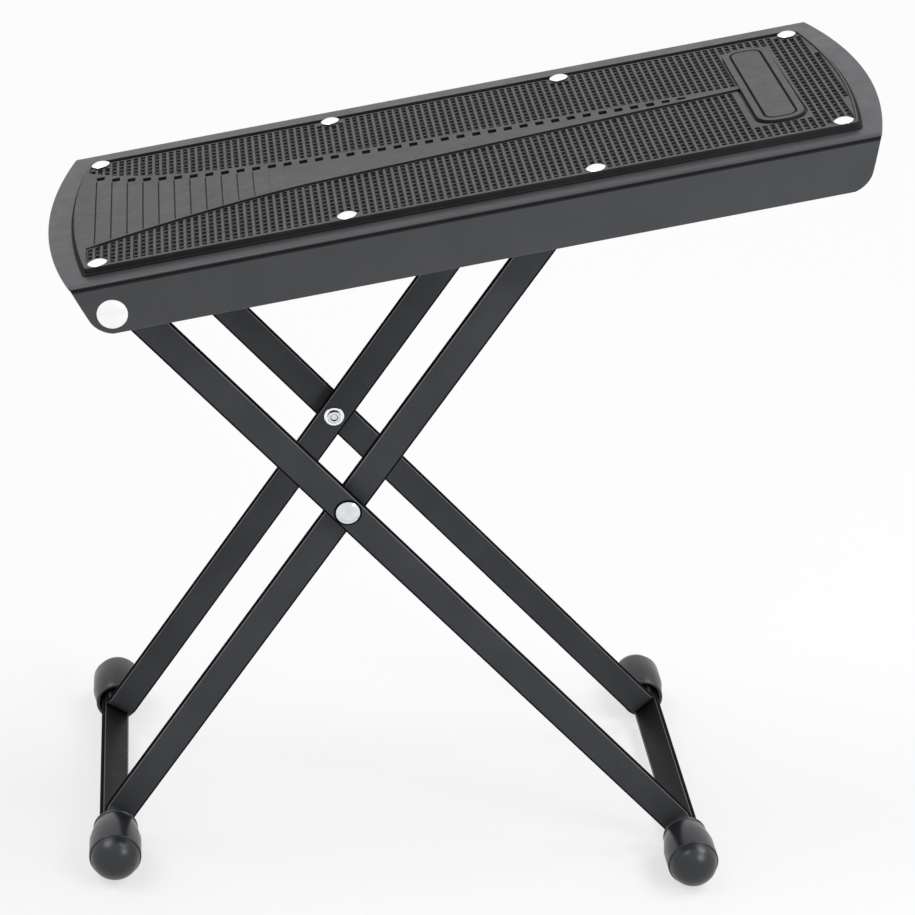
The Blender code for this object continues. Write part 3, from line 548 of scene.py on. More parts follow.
def flange_downs():
    """Places down the flange below its bend, as (distance down, how far the sheet's faces are drawn in)."""
    depth = TRAY_FLANGE_DEPTH - TRAY_BEND_RADIUS
    downs = [(down, 0) for down in steps_between(0, depth - TRAY_CORNER_RADIUS, FEW_STEPS)[1:]]
    lowest = math.asin(1 - SHEET_EDGE_ROUND / TRAY_CORNER_RADIUS)
    for angle in steps_between(0, lowest, ARC_STEPS)[1:]:
        downs.append((depth - TRAY_CORNER_RADIUS * (1 - math.sin(angle)), 0))
    for angle in steps_between(0, math.pi / 2, ROUND_STEPS)[1:]:
        down = depth - SHEET_EDGE_ROUND * (1 - math.sin(angle))
        downs.append((down, SHEET_EDGE_ROUND * (1 - math.cos(angle))))
    return downs


def tray_stations():
    """The folded sheet from its middle line to the flange's edge.

    Each station is the distance along the sheet, y, z, the outward direction's y and z, and how far both
    faces of the sheet are drawn in there.
    """
    flat = TRAY_HALF_WIDTH - TRAY_BEND_RADIUS
    stations = [(across, across, 0, 0, 1, 0) for across in steps_between(0, flat, BOW_STEPS)]
    for step, angle in enumerate(steps_between(0, math.pi / 2, ARC_STEPS)[1:], 1):
        out_y = math.sin(angle)
        out_z = math.cos(angle)
        across = flat + TRAY_BEND_RADIUS * out_y
        up = TRAY_BEND_RADIUS * (out_z - 1)
        sunk = CREASE_BELOW if step == CREASE_STEP else 0
        stations.append((flat + TRAY_BEND_RADIUS * angle, across, up, out_y, out_z, sunk))
    bend_end = flat + TRAY_BEND_RADIUS * math.pi / 2
    for down, sunk in flange_downs():
        stations.append((bend_end + down, TRAY_HALF_WIDTH, -TRAY_BEND_RADIUS - down, 1, 0, sunk))
    return stations


def tray_section(station, side, edge):
    """One long section of the sheet, from its low end to its high end, with rounded ends."""
    distance, y, z, out_y, out_z, sunk = station
    drawn = bow_at(bow_radius(TRAY_END_BOW, TRAY_HALF_WIDTH), distance)
    past = distance - (edge - TRAY_CORNER_RADIUS)
    if past > 0:
        drawn += TRAY_CORNER_RADIUS - math.sqrt(max(0, TRAY_CORNER_RADIUS**2 - past**2))
    corners = []
    for angle in steps_between(0, math.pi / 2, ROUND_STEPS):
        back = SHEET_EDGE_ROUND * (1 - math.sin(angle))
        corners.append((drawn + back, max(sunk, SHEET_EDGE_ROUND * (1 - math.cos(angle)))))
    low_end = [(along, TRAY_SHEET - depth) for along, depth in corners] + corners[::-1]
    points = low_end + [(TRAY_LENGTH - along, depth) for along, depth in reversed(low_end)]
    return [(along, side * (y - depth * out_y), z - depth * out_z) for along, depth in points]


def build_tray(paint, painted_shade_dull):
    half = tray_stations()
    edge = half[-1][0]
    sections = [tray_section(station, -1, edge) for station in reversed(half[1:])]
    sections += [tray_section(station, 1, edge) for station in half]
    middle = len(half) - 1
    crease = BOW_STEPS + CREASE_STEP
    # The stretches round each crease take the dull paint, a band of painted shade
    creased = {place + step for place in (middle - crease, middle + crease) for step in CREASE_STRETCHES}
    bm = lofted(sections, lambda stretch, index: 1 if stretch in creased else 0)
    piece = add_piece("tray_pressed_sheet", bm, TRAY_FRAME, [paint, painted_shade_dull])
    dress(piece, "platform", "platform_tray")


# Tread


class Relief:
    """The tread's top as closed outlines with heights, joined by triangles."""

    def __init__(self):
        self.points = []
        self.heights = []
        self.edges = []

    def add(self, outline, heights):
        """An outline with a height for each of its places, or one for all."""
        first = len(self.points)
        count = len(outline)
        self.points += [Vector(point) for point in outline]
        self.heights += heights if isinstance(heights, list) else [heights] * count
        self.edges += [(first + index, first + (index + 1) % count) for index in range(count)]

    def add_pit(self, outline, rim, draft, floor):
        """An outline at the height of its rim, and its floor drawn in by the draft."""
        self.add(outline, rim)
        self.add(inset(outline, draft), floor)

    def triangles(self):
        found = delaunay_2d_cdt(self.points, self.edges, [], TRIANGLES_INSIDE, RELIEF_CLOSENESS, True)
        points, _, faces, origins, _, _ = found
        heights = [self.heights[origin[0]] for origin in origins]
        return [(point.x, point.y, height) for point, height in zip(points, heights)], faces


def inset(outline, distances):
    """Moves the corners of an outline to the left of its run, each by its own distance or all by one."""
    if not isinstance(distances, list):
        distances = [distances] * len(outline)
    moved = []
    for index, distance in enumerate(distances):
        here = Vector(outline[index])
        before = (here - Vector(outline[index - 1])).normalized()
        after = (Vector(outline[(index + 1) % len(outline)]) - here).normalized()
        normals = Vector((-before.y, before.x)) + Vector((-after.y, after.x))
        moved.append(here + normals * distance / (1 + before.dot(after)))
    return [(place.x, place.y) for place in moved]


def rivet_columns():
    """Where the tread rivets stand along the tray."""
    step = (TRAY_LENGTH - 2 * TREAD_RIVET_END_INSET) / (TREAD_RIVET_COLUMNS - 1)
    return [TREAD_RIVET_END_INSET + step * column for column in range(TREAD_RIVET_COLUMNS)]


def tread_end(across, margin):
    """Distance of the tread's low end, or of a line by this margin inside it, from the tray's low end."""
    radius = bow_radius(TREAD_END_BOW, TREAD_HALF_WIDTH) - margin
    return TREAD_END_MARGIN + margin + bow_at(radius, across)


def tread_outline():
    """The mat's outline, against the clock as seen from above."""
    radius = TREAD_CORNER_RADIUS
    flat = TREAD_HALF_WIDTH - radius
    rear_low = arc((tread_end(flat, 0) + radius, flat), radius, math.pi / 2, math.pi, ROUND_STEPS)
    low = [(tread_end(across, 0), across) for across in steps_between(flat, -flat, BOW_STEPS)[1:-1]]
    front_low = [(along, -across) for along, across in reversed(rear_low)]
    low_half = rear_low + low + front_low
    return low_half + [(TRAY_LENGTH - along, -across) for along, across in low_half]


def tongue_edge(along, side):
    """Distance of the tongue's edge from the middle line, narrowing from a wide foot to a slim ridge."""
    past = along - RIBS_FROM_LOW_END
    left = (PLATE_LOW_END - along) / (PLATE_LOW_END - RIBS_FROM_LOW_END)
    if side > 0:
        flare = TONGUE_REAR_FLARE * math.exp(-past / TONGUE_REAR_FADE)
        return RIDGE_REAR_EDGE + RIDGE_REAR_SPREAD * left + flare
    flare = TONGUE_FRONT_FLARE * max(0, 1 - past / TONGUE_FRONT_FADE) ** TONGUE_FRONT_CURVE
    return RIDGE_FRONT_EDGE + RIDGE_FRONT_SPREAD * left + flare


def plate_outline(drawn_in=0.0):
    """The plate's outline against the clock from its high rear corner, drawn in by this much all round."""
    radius = PLATE_CORNER_RADIUS - drawn_in
    points = []
    for quarter, (along_side, across_side) in enumerate([(1, 1), (-1, 1), (-1, -1), (1, -1)]):
        along = PLATE_MIDDLE + along_side * (PLATE_WIDTH / 2 - PLATE_CORNER_RADIUS)
        across = PLATE_ACROSS + across_side * (PLATE_LENGTH / 2 - PLATE_CORNER_RADIUS)
        points += arc((along, across), radius, quarter * math.pi / 2, (quarter + 1) * math.pi / 2, ARC_STEPS)
    return points


def ribbed_outline():
    """The ribbed area round the tongue and the plate, against the clock, with a word for each stretch."""
    side = TREAD_HALF_WIDTH - TREAD_BORDER
    low = tread_end(side, TREAD_BORDER)
    widths = steps_between(-side, side, BOW_STEPS)
    high_line = [(TRAY_LENGTH - tread_end(across, TREAD_HIGH_BORDER), across) for across in widths]
    run = steps_between(RIBS_FROM_LOW_END, PLATE_LOW_END, RUN_STEPS)
    marked = [((along, -side), "front") for along in steps_between(low, high_line[0][0], RUN_STEPS)[:-1]]
    marked += [(place, "end") for place in high_line]
    marked += [((along, side), "rear") for along in steps_between(high_line[-1][0], low, RUN_STEPS)[1:]]
    marked += [(place, "end") for place in low_border(side, tongue_edge(run[0], 1))]
    marked += [((along, tongue_edge(along, 1)), "end") for along in run]
    corners = plate_outline()
    half = len(corners) // 2
    marked += [(place, "end") for place in reversed(corners[:half])]
    marked += [(place, "moat") for place in reversed(corners[half:])]
    for along in reversed(run):
        marked.append(((along, -tongue_edge(along, -1)), "moat" if along > MOAT_FROM_LOW_END else "end"))
    inner = low_border(side, tongue_edge(run[0], -1))
    return marked + [((along, -across), "end") for along, across in reversed(inner)]


def low_border(side, tongue):
    """Where the ribs' low end runs from the tread's side to the tongue, both left out."""
    widths = steps_between(side, tongue, ARC_STEPS)[1:-1]
    return [(max(RIBS_FROM_LOW_END, tread_end(across, TREAD_BORDER)), across) for across in widths]


def add_ribbed_area(relief):
    """Sinks the ribbed area, deepest in the moat along the tongue's and the plate's front edge."""
    marked = ribbed_outline()
    outline = [place for place, _ in marked]
    relief.add(outline, [-RIBS_BELOW if word == "rear" else 0.0 for _, word in marked])
    floors = [-MOAT_BELOW if word == "moat" else -RIBS_BELOW for _, word in marked]
    for draft, moat in ((WALL_DRAFT, WALL_DRAFT), (2 * WALL_DRAFT, WALL_DRAFT + MOAT_WIDTH)):
        distances = [moat if word == "moat" else draft for _, word in marked]
        relief.add(inset(outline, distances), floors)
    distances = [2 * WALL_DRAFT + MOAT_WIDTH if word == "moat" else 3 * WALL_DRAFT for _, word in marked]
    relief.add(inset(outline, distances), -RIBS_BELOW)


def groove_reach(along):
    """Where a groove ends towards the tread's long side: at its border, its bowed end or a rivet."""
    clearance = RIB_CLEARANCE + WALL_DRAFT
    margin = (TREAD_HIGH_BORDER if along > TRAY_LENGTH / 2 else TREAD_BORDER) + clearance
    past_end = min(along, TRAY_LENGTH - along) - GROOVE_WIDTH / 2 - TREAD_END_MARGIN - margin
    radius = bow_radius(TREAD_END_BOW, TREAD_HALF_WIDTH) - margin
    reach = TREAD_HALF_WIDTH - TREAD_BORDER - clearance
    if past_end <= 0:
        return 0
    if past_end < radius:
        reach = min(reach, math.sqrt(radius**2 - (radius - past_end) ** 2))
    land = TREAD_RIVET_HEAD_RADIUS + TREAD_RIVET_LAND
    nearest = min(abs(along - column) for column in rivet_columns())
    beside = max(0, nearest - GROOVE_WIDTH / 2)
    if beside < land:
        reach = min(reach, RIVET_ROW - math.sqrt(land**2 - beside**2))
    return reach


def add_groove(relief, along, inner_low, inner_high, outer):
    """A groove between two ribs, from its inner to its outer end, with pits between its low crossbars."""
    low = along - GROOVE_WIDTH / 2
    high = along + GROOVE_WIDTH / 2
    outline = [(low, inner_low), (high, inner_high), (high, outer), (low, outer)]
    start = max(inner_low, inner_high)
    end = outer
    if outer < start:
        outline.reverse()
        start = outer
        end = min(inner_low, inner_high)
    relief.add_pit(outline, -RIBS_BELOW, WALL_DRAFT, -CROSSBAR_BELOW)
    pit_low = low + 2 * WALL_DRAFT
    pit_high = high - 2 * WALL_DRAFT
    for bar in range(math.floor(start / CROSSBAR_PITCH), math.ceil(end / CROSSBAR_PITCH)):
        first = max(start + 2 * WALL_DRAFT, bar * CROSSBAR_PITCH + CROSSBAR_WIDTH / 2)
        last = min(end - 2 * WALL_DRAFT, (bar + 1) * CROSSBAR_PITCH - CROSSBAR_WIDTH / 2)
        if last - first > CROSSBAR_WIDTH:
            pit = [(pit_low, first), (pit_high, first), (pit_high, last), (pit_low, last)]
            relief.add_pit(pit, -CROSSBAR_BELOW, WALL_DRAFT, -PIT_BELOW)


def add_grooves(relief):
    """Grooves on both sides of the tongue and the plate, and right across the mat beyond the plate."""
    high = TRAY_LENGTH - TREAD_END_MARGIN - TREAD_HIGH_BORDER
    half = GROOVE_WIDTH / 2
    rear_gap = 3 * WALL_DRAFT + RIB_CLEARANCE
    front_gap = 2 * WALL_DRAFT + MOAT_WIDTH + RIB_CLEARANCE
    for index in range(int((high - RIBS_FROM_LOW_END) / RIB_PITCH)):
        along = RIBS_FROM_LOW_END + RIB_PITCH * (index + 0.5)
        outer = groove_reach(along)
        if along - half > PLATE_HIGH_END + front_gap:
            if outer > GROOVE_WIDTH:
                add_groove(relief, along, -outer, -outer, outer)
            continue
        for side, gap in ((1, rear_gap), (-1, front_gap)):
            inner_low = tongue_edge(along - half, side) + gap
            inner_high = tongue_edge(along + half, side) + gap
            if along + half > PLATE_LOW_END - gap:
                inner_low = PLATE_LENGTH / 2 + gap + side * PLATE_ACROSS
                inner_high = inner_low
            if outer - min(inner_low, inner_high) > GROOVE_WIDTH:
                add_groove(relief, along, side * inner_low, side * inner_high, side * outer)


def add_gutter(relief):
    """A gutter between the ribs' rear ends and the mat's rear edge, darkened by painted shade on its steep walls.
    """
    front = TREAD_HALF_WIDTH - TREAD_BORDER + 2 * WALL_DRAFT
    rear = front + GUTTER_WIDTH
    low = tread_end(rear, TREAD_BORDER) + TREAD_CORNER_RADIUS
    high = TRAY_LENGTH - low
    outline = [(low, front), (high, front), (high, rear), (low, rear)]
    relief.add(outline, [-RIBS_BELOW, -RIBS_BELOW, 0.0, 0.0])
    relief.add(inset(outline, WALL_DRAFT), -GUTTER_BELOW)


def add_tongue_slots(relief):
    """The slots along the tongue's rear edge, with a fine line from each of the first of them."""
    run = PLATE_LOW_END - SLOTS_TO_PLATE - SLOT_LENGTH - SLOTS_FROM_LOW_END
    for index in range(int(run / SLOT_PITCH) + 1):
        low = SLOTS_FROM_LOW_END + SLOT_PITCH * index
        high = low + SLOT_LENGTH
        outer = tongue_edge(high, 1) - SLOT_MARGIN
        room = outer + tongue_edge(high, -1) - SLOT_MARGIN
        inner = outer - min(SLOT_WIDTH, room)
        outline = [(low, inner), (high, inner), (high, outer), (low, outer)]
        relief.add(outline, 0.0)
        depths = [-SLOT_FRONT_BELOW, -SLOT_FRONT_BELOW, -SLOT_BELOW, -SLOT_BELOW]
        relief.add(inset(outline, WALL_DRAFT), depths)
        if index < LINE_COUNT:
            add_line(relief, low, inner - SLOT_MARGIN / 2, index)


def add_line(relief, along, start, index):
    """A fine line moulded across the tongue, fainter the further it is up the tread."""
    end = SLOT_MARGIN / 2 - tongue_edge(along, -1)
    faint = min(1, (LINE_COUNT - index) / (LINE_COUNT - LINE_STRONG_COUNT))
    half = LINE_WIDTH / 2
    outline = [(along - half, end), (along + half, end), (along + half, start), (along - half, start)]
    relief.add_pit(outline, 0.0, half * LINE_WALL_SHARE, -LINE_BELOW * faint)


def add_plate(relief):
    """The raised plate, with a grooved frame line inside its edge."""
    relief.add(plate_outline(WALL_DRAFT), PLATE_RAISE)
    relief.add(plate_outline(PLATE_FRAME_INSET), PLATE_RAISE)
    relief.add(plate_outline(PLATE_FRAME_INSET + PLATE_FRAME_WIDTH / 2), PLATE_RAISE - PLATE_FRAME_BELOW)
    relief.add(plate_outline(PLATE_FRAME_INSET + PLATE_FRAME_WIDTH), PLATE_RAISE)


def tread_relief():
    """The mat's top: a low skirt that takes painted shade, a rounded edge, and all that is moulded inside them."""
    relief = Relief()
    outline = tread_outline()
    relief.add(outline, -SKIRT_BELOW)
    skirts = [REAR_LIP / 2 if across > TREAD_HALF_WIDTH - REAR_LIP else SKIRT_WIDTH for _, across in outline]
    rounds = [REAR_LIP if across > TREAD_HALF_WIDTH - REAR_LIP else TREAD_EDGE_ROUND for _, across in outline]
    relief.add(inset(outline, skirts), -SKIRT_BELOW)
    for angle in steps_between(0, math.pi / 2, FEW_STEPS):
        drawn = [skirt + WALL_DRAFT + edge * (1 - math.cos(angle)) for skirt, edge in zip(skirts, rounds)]
        relief.add(inset(outline, drawn), [-edge * (1 - math.sin(angle)) for edge in rounds])
    add_ribbed_area(relief)
    add_gutter(relief)
    add_grooves(relief)
    add_tongue_slots(relief)
    add_plate(relief)
    return relief


def tread_finish(heights, normal_up):
    """Which of the mat's three finishes a face takes: top, a slightly lighter copy of the rubber on the crossbars,
    or painted shade on hollows and steep walls.
    """
    if normal_up < MAT_LEVEL or max(heights) < -(CROSSBAR_BELOW + PIT_BELOW) / 2:
        return MAT_PAINTED_SHADE
    return MAT_BARS if max(heights) < -(RIBS_BELOW + CROSSBAR_BELOW) / 2 else MAT_TOP


def build_tread(materials):
    places, faces = tread_relief().triangles()
    bm = bmesh.new()
    verts = [bm.verts.new((along, across, TREAD_TOP + height)) for along, across, height in places]
    for corners in faces:
        face = bm.faces.new([verts[corner] for corner in corners])
        face.normal_update()
        heights = [places[corner][2] for corner in corners]
        face.material_index = tread_finish(heights, abs(face.normal.z))
    # The mat's sides and bottom take painted shade
    rim = [edge for edge in bm.edges if edge.is_boundary]
    for item in bmesh.ops.extrude_edge_only(bm, edges=rim)["geom"]:
        if isinstance(item, bmesh.types.BMVert):
            item.co.z = TREAD_BOTTOM
        if isinstance(item, bmesh.types.BMFace):
            item.material_index = MAT_PAINTED_SHADE
    rim = [edge for edge in bm.edges if edge.is_boundary]
    for face in bmesh.ops.contextual_create(bm, geom=rim)["faces"]:
        face.material_index = MAT_PAINTED_SHADE
    piece = add_piece("tread_moulded_mat", bm, TREAD_FRAME, materials)
    dress(piece, "platform", "tread_mat")


def build_tread_rivets(nickel):
    for column, along in enumerate(rivet_columns(), 1):
        tail_top = RACK_TOP - RACK_SHEET - GAP if column in RACKED_COLUMNS else RACK_TOP
        tail_low = tail_top - TREAD_RIVET_TAIL_HEIGHT
        profile = flat_tail(TREAD_RIVET_TAIL_RADIUS, tail_low, tail_top, TREAD_RIVET_SHANK_RADIUS)
        profile.append((TREAD_RIVET_SHANK_RADIUS, TREAD_TOP))
        profile += dome(TREAD_RIVET_HEAD_RADIUS, TREAD_TOP, TREAD_RIVET_HEAD_HEIGHT, TURNED_EDGE)
        for side in (-1, 1):
            place = TREAD_FRAME @ Matrix.Translation((along, side * RIVET_ROW, 0))
            name = side_name(str(column), side)
            piece = add_piece("tread_stud_" + name, turned(profile, SMALL_FACETS), place, [nickel])
            dress(piece, "platform", "tread_rivet_" + name)


# Pivot


def build_pivot(nickel, steel, side):
    tail_top = OUTER_LEG_INSIDE - GAP
    profile = flat_tail(PIVOT_TAIL_RADIUS, tail_top - PIVOT_TAIL_HEIGHT, tail_top, PIVOT_SHANK_RADIUS)
    profile.append((PIVOT_SHANK_RADIUS, TRAY_HALF_WIDTH))
    profile += dome(PIVOT_HEAD_RADIUS, TRAY_HALF_WIDTH, PIVOT_HEAD_HEIGHT, 2 * TURNED_EDGE)
    axis = Matrix.Translation(record_place(frame["joints"], "platform_tilt")) @ facing(side)
    rivet = add_piece(side_name("pivot_stud", side), turned(profile), axis, [nickel])
    dress(rivet, "platform", side_name("pivot_rivet", side))
    bore = PIVOT_SHANK_RADIUS + GAP
    tube = ring(bore, bore + SLEEVE_WALL, OUTER_LEG_OUTSIDE + GAP, TRAY_HALF_WIDTH - TRAY_SHEET)
    sleeve = add_piece(side_name("pivot_spacer", side), tube, axis, [steel])
    dress(sleeve, "platform", side_name("pivot_sleeve", side))


# Legs


def strap_ring(tip):
    """Section of the strap as (across its width, through its thickness), this far into its rounded end."""
    half = STRAP_WIDTH / 2
    thick = STRAP_THICKNESS / 2
    edge = STRAP_EDGE_ROUND
    quarter = []
    for angle in steps_between(0, math.pi / 2, ROUND_STEPS):
        drawn = min(edge * (1 - math.cos(angle)), half - tip)
        depth = thick - edge + math.sqrt(max(0, edge**2 - (edge - drawn) ** 2))
        width = math.sqrt(max(0, (half - drawn) ** 2 - tip**2))
        quarter.append((width, depth))
    points = quarter + [(-width, depth) for width, depth in reversed(quarter)]
    points += [(-width, -depth) for width, depth in quarter]
    return points + [(width, -depth) for width, depth in reversed(quarter)]


def strap_section(along, across, turned_by, side, tip=0.0):
    """The strap's section where its run has turned by this angle from X towards the side."""
    points = []
    for width, depth in strap_ring(tip):
        x = along - depth * math.sin(turned_by)
        points.append((x, side * (across + depth * math.cos(turned_by)), width))
    return points


def strap_finish(lit_sides):
    """Finishes round a strap: two broad faces, thin painted highlights next to them on the lit sides, and its
    edges in painted shade.
    """
    quarter = ROUND_STEPS + 1
    # Round its edges the strap is painted with shade
    finishes = [STRAP_EDGE_PAINTED_SHADE] * (4 * quarter)
    for broad, lit_step in ((quarter - 1, -1), (3 * quarter - 1, 1)):
        finishes[broad] = STRAP_FACE
        for side in lit_sides:
            finishes[broad + lit_step * side] = STRAP_PAINTED_HIGHLIGHT
    return lambda stretch, index: finishes[index]


def strap_tips():
    """How far past the last pin the sections of a strap's rounded end lie, outermost first."""
    half = STRAP_WIDTH / 2
    edge = STRAP_EDGE_ROUND
    outer = steps_between(STRAP_TIP_START, math.pi / 2, ROUND_STEPS)
    inner = steps_between(0, math.pi / 2, ARC_STEPS)[1:]
    tips = [half - edge * (1 - math.cos(angle)) for angle in outer]
    return tips + [(half - edge) * math.cos(angle) for angle in inner]


def build_leg(name, paints, body, matrix, side, outside, top, foot):
    middle = outside - STRAP_THICKNESS / 2
    bend = STRAP_BEND_RADIUS + STRAP_THICKNESS / 2
    tab = foot - TAB_HALF_STEP
    sections = [strap_section(-top - tip, middle, 0, side, tip) for tip in strap_tips()]
    for angle in steps_between(0, math.pi / 2, ARC_STEPS):
        along = tab - bend + bend * math.sin(angle)
        sections.append(strap_section(along, middle + bend - bend * math.cos(angle), angle, side))
    sections.append(strap_section(tab, outside + TAB_REACH, math.pi / 2, side))
    # The painted highlight runs beside the strap's upper edge, where the light falls
    upper = 1 if matrix.col[2].z > 0 else -1
    bm = lofted(sections, strap_finish((upper,)))
    piece = add_piece(side_name(name + "_strap", side), bm, matrix, paints)
    dress(piece, body, side_name(name, side))


def build_cross_strap(name, paints, body, matrix, outside, foot):
    reach = outside + TAB_REACH
    sections = [strap_section(foot + TAB_HALF_STEP, end, math.pi / 2, 1) for end in (-reach, reach)]
    # The broad faces take the dull paint as painted shade, the edges painted shade, and thin painted highlights
    # run along both sides
    bm = lofted(sections, strap_finish((-1, 1)))
    piece = add_piece(name + "_bar", bm, matrix, paints)
    dress(piece, body, name)


def foot_profile(rim):
    """Profile of a foot: its ball end, the shoulder round it, its side, neck, rolled mouth and bore."""
    end = rim + FOOT_LENGTH
    shoulder = end - FOOT_DOME
    ball = (FOOT_BALL_RADIUS**2 + FOOT_DOME**2) / (2 * FOOT_DOME)
    profile = [(0, end)]
    for angle in steps_between(0, math.asin(FOOT_BALL_RADIUS / ball), ARC_STEPS)[1:]:
        profile.append((ball * math.sin(angle), end - ball * (1 - math.cos(angle))))
    edge = FOOT_SHOULDER_ROUND
    profile += arc((FOOT_RADIUS - edge, shoulder - edge), edge, math.pi / 2, 0, ROUND_STEPS)
    profile.append((FOOT_RADIUS, rim + FOOT_TAPER))
    bead = FOOT_BEAD_ROUND
    profile.append((FOOT_RIM_RADIUS, rim + 2 * bead + FOOT_NECK))
    profile += arc((FOOT_BORE_RADIUS + bead, rim + bead), bead, FOOT_BEAD_TURN, -math.pi, 2 * ARC_STEPS)
    return profile + [(FOOT_BORE_RADIUS, rim + FOOT_BORE_DEPTH), (0, rim + FOOT_BORE_DEPTH)]


def build_foot(name, rubber, body, matrix, side, outside, foot):
    """A foot, pressed flat where it stands on the floor."""
    bm = turned(foot_profile(outside + FOOT_STANDOFF))
    place = matrix @ Matrix.Translation((foot, 0, 0)) @ facing(side)
    down = (place.to_3x3().inverted() @ Vector((0, 0, -1))).normalized()
    for vert in bm.verts:
        pressed = vert.co.dot(down) - FOOT_AXIS_HEIGHT
        if pressed > 0:
            vert.co -= down * pressed
    piece = add_piece(side_name(name + "_boot", side), bm, place, [rubber])
    dress(piece, body, side_name(name, side))


def crossing_profile(washer_low):
    """Profile of a crossing rivet, with the steps that take painted shade: round the dimple, the tail and the
    head.
    """
    tail_low = washer_low - CROSSING_TAIL_HEIGHT
    edge = TURNED_EDGE
    dimple = CROSSING_TAIL_RADIUS / 2
    profile = [(0, tail_low + CROSSING_TAIL_DIMPLE), (dimple - edge, tail_low + CROSSING_TAIL_DIMPLE)]
    dark = [len(profile)]
    profile += [(dimple, tail_low + edge), (dimple + edge, tail_low), (CROSSING_TAIL_RADIUS - edge, tail_low)]
    dark.append(len(profile))
    profile += [(CROSSING_TAIL_RADIUS, tail_low + edge), (CROSSING_TAIL_RADIUS, washer_low)]
    profile += [(CROSSING_SHANK_RADIUS, washer_low), (CROSSING_SHANK_RADIUS, OUTER_LEG_OUTSIDE)]
    dark += range(len(profile), len(profile) + HEAD_PAINTED_SHADE_STEPS)
    profile += [(CROSSING_HEAD_RADIUS, OUTER_LEG_OUTSIDE), (CROSSING_HEAD_RADIUS, OUTER_LEG_OUTSIDE + edge)]
    head = CROSSING_HEAD_RADIUS - HEAD_OUTLINE
    return profile + dome(head, OUTER_LEG_OUTSIDE + edge, CROSSING_HEAD_HEIGHT - edge, edge), dark


def build_crossing(polished, shade, nickel, steel, side):
    washer_low = INNER_LEG_INSIDE - TAIL_WASHER_THICKNESS
    profile, dark = crossing_profile(washer_low)
    axis = Matrix.Translation(record_place(frame["joints"], "leg_fold")) @ facing(side)
    rivet = add_piece(side_name("crossing_stud", side), turned(profile, dark=dark), axis, [polished, shade])
    dress(rivet, "outer_frame", side_name("crossing_rivet", side))
    bore = CROSSING_SHANK_RADIUS + GAP
    spacing = ring(bore, SPACING_WASHER_RADIUS, INNER_LEG_OUTSIDE, OUTER_LEG_INSIDE)
    piece = add_piece(side_name("spacing_ring", side), spacing, axis, [steel])
    dress(piece, "outer_frame", side_name("spacing_washer", side))
    tail = ring(bore, TAIL_WASHER_RADIUS, washer_low, INNER_LEG_INSIDE)
    piece = add_piece(side_name("tail_ring", side), tail, axis, [nickel])
    dress(piece, "outer_frame", side_name("tail_washer", side))


def build_latch_rod(steel):
    shoulder = INNER_LEG_OUTSIDE
    end = shoulder + ROD_END_THICKNESS
    edge = TURNED_EDGE
    half = [(ROD_RADIUS, shoulder), (ROD_END_RADIUS, shoulder), (ROD_END_RADIUS, end - edge)]
    half += [(ROD_END_RADIUS - edge, end), (0, end)]
    profile = [(radius, -height) for radius, height in reversed(half)] + half
    place = INNER_FRAME @ Matrix.Translation((-CROSSING_TO_ROD, 0, 0)) @ facing(1)
    piece = add_piece("latch_bar", turned(profile, SMALL_FACETS), place, [steel])
    dress(piece, "inner_frame", "latch_rod")


def dress_rack(paint, side):
    """The racks under the tray are shown as they are in the CAD, with the tray's paint."""
    node = frame["nodes"][side_name("latch_rack", side)]
    node.data.materials.clear()
    node.data.materials.append(paint)


# Floor, light and camera


def seen_directly(tree):
    """A value that is 1 for the camera, in reflections and through glass, and 0 for other light."""
    rays = tree.nodes.new("ShaderNodeLightPath")
    seen = rays.outputs["Is Camera Ray"]
    for kind in ("Is Glossy Ray", "Is Transmission Ray"):
        either = tree.nodes.new("ShaderNodeMath")
        either.operation = "MAXIMUM"
        tree.links.new(seen, either.inputs[0])
        tree.links.new(rays.outputs[kind], either.inputs[1])
        seen = either.outputs["Value"]
    return seen


def level_between(tree, value, low, high, socket):
    """Feeds a socket with low where the value is 0 and high where it is 1."""
    node = tree.nodes.new("ShaderNodeMapRange")
    node.inputs["To Min"].default_value = low
    node.inputs["To Max"].default_value = high
    tree.links.new(value, node.inputs["Value"])
    tree.links.new(node.outputs["Result"], socket)


def build_floor():
    """A pale floor that glows a little where it is seen, and still takes the object's shadow."""
    material, shader = new_material("floor_pale")
    tint(material, noise(material, FLOOR_MOTTLE), FLOOR_DARK, FLOOR_LIGHT, shader.inputs["Base Color"])
    shader.inputs["Roughness"].default_value = FLOOR_ROUGHNESS
    shader.inputs["Specular IOR Level"].default_value = FLOOR_SHINE
    tree = material.node_tree
    glow = tree.nodes.new("ShaderNodeEmission")
    mixed = tree.nodes.new("ShaderNodeMixShader")
    level_between(tree, seen_directly(tree), 0, FLOOR_GLOW, mixed.inputs["Fac"])
    tree.links.new(shader.outputs["BSDF"], mixed.inputs[1])
    tree.links.new(glow.outputs["Emission"], mixed.inputs[2])
    tree.links.new(mixed.outputs["Shader"], tree.nodes["Material Output"].inputs["Surface"])
    bm = bmesh.new()
    bmesh.ops.create_grid(bm, x_segments=1, y_segments=1, size=FLOOR_SIZE / 2)
    mesh = bpy.data.meshes.new("floor")
    bm.to_mesh(mesh)
    bm.free()
    mesh.materials.append(material)
    floor = add_object("floor", mesh)


def build_world():
    """White to the camera and in reflections, a softer fill for everything else."""
    world = bpy.data.worlds.new("studio")
    bpy.context.scene.world = world
    world.use_nodes = True
    tree = world.node_tree
    background = tree.nodes["Background"]
    background.inputs["Color"].default_value = WORLD_COLOUR
    level_between(tree, seen_directly(tree), WORLD_FILL, WORLD_WHITE, background.inputs["Strength"])


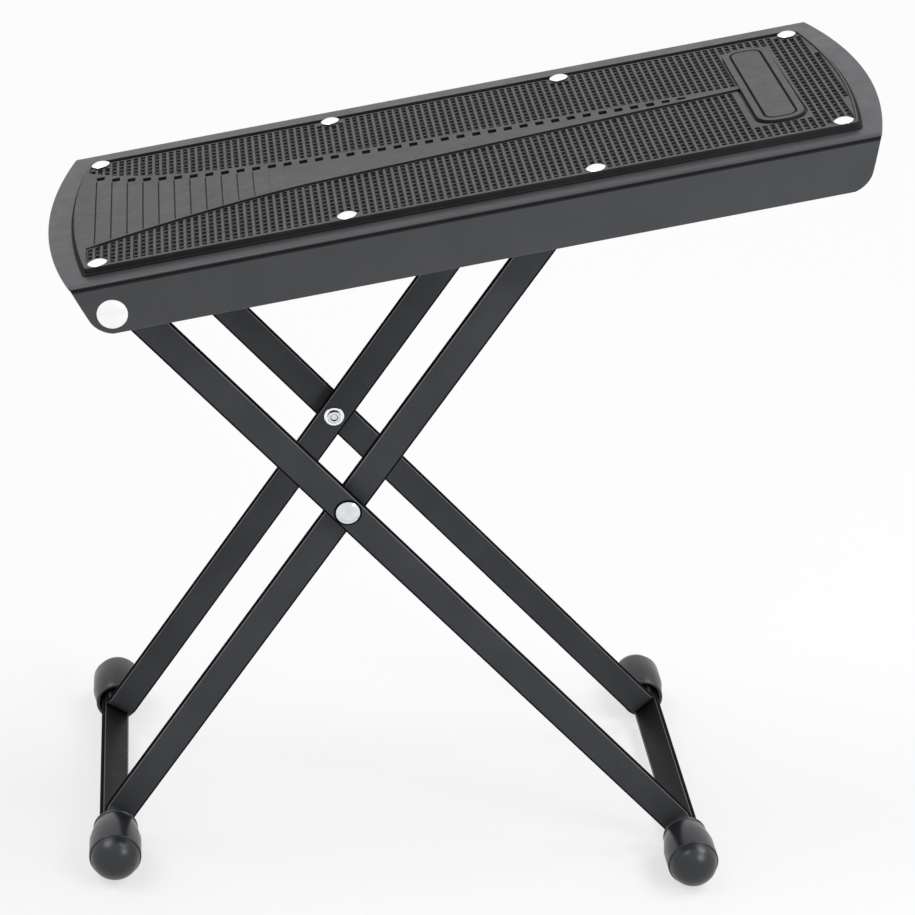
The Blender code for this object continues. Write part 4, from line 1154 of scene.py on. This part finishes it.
def build_suns():
    """Two wide suns, from the high end's side and from the low end's side."""
    for strength, direction in SUNS:
        light = bpy.data.lights.new("soft_sun", "SUN")
        light.energy = strength
        light.angle = SUN_ANGLE
        sun = add_object("soft_sun", light)
        sun.rotation_euler = direction.to_track_quat("Z", "Y").to_euler()


def build_lamp():
    """A small soft lamp that lights the platform's high end a little more than the rest."""
    light = bpy.data.lights.new("side_lamp", "AREA")
    light.energy = LAMP_POWER
    light.size = LAMP_SIZE
    lamp = add_object("side_lamp", light)
    lamp.rotation_euler = (LAMP_PLACE - LAMP_TOWARDS).to_track_quat("Z", "Y").to_euler()
    lamp.location = LAMP_PLACE


def build_camera():
    data = bpy.data.cameras.new("photo_camera")
    data.lens = CAMERA_LENS
    data.sensor_width = CAMERA_SENSOR
    camera = add_object("photo_camera", data)
    back = -CAMERA_FORWARD.normalized()
    right = (CAMERA_RIGHT - back * CAMERA_RIGHT.dot(back)).normalized()
    turned_to = Matrix((right, back.cross(right), back)).transposed()
    camera.matrix_world = Matrix.Translation(CAMERA_PLACE) @ turned_to.to_4x4()
    bpy.context.scene.camera = camera


def build_footrest():
    paint, strap, shade, painted_shade_dull, painted_highlight = (make_coat(name, PAINTS[name], PAINT_GRAIN) for name in PAINTS)
    *mat, feet = (make_coat(name, RUBBERS[name], RUBBER_GRAIN) for name in RUBBERS)
    nickel, polished, steel = (make_metal(name, METALS[name]) for name in METALS)
    build_tray(paint, painted_shade_dull)
    build_tread(mat)
    build_tread_rivets(nickel)
    legs = (
        ("outer", "outer_frame", OUTER_FRAME, OUTER_LEG_OUTSIDE, CROSSING_TO_PIVOT, OUTER_FOOT_AT),
        ("inner", "inner_frame", INNER_FRAME, INNER_LEG_OUTSIDE, CROSSING_TO_ROD, INNER_FOOT_AT),
    )
    for side in (-1, 1):
        dress_rack(paint, side)
        build_pivot(nickel, steel, side)
        build_crossing(polished, shade, nickel, steel, side)
        for pair, body, matrix, outside, top_at, foot_at in legs:
            build_leg(pair + "_leg", [strap, shade, painted_highlight], body, matrix, side, outside, top_at, foot_at)
            build_foot(pair + "_foot", feet, body, matrix, side, outside, foot_at)
    for pair, body, matrix, outside, _, foot_at in legs:
        build_cross_strap(pair + "_cross_strap", [painted_shade_dull, shade, painted_highlight], body, matrix, outside, foot_at)
    build_latch_rod(steel)


def build_studio():
    build_floor()
    build_world()
    build_suns()
    build_lamp()
    build_camera()
    bpy.context.scene.view_settings.view_transform = "Standard"


build_footrest()
build_studio()
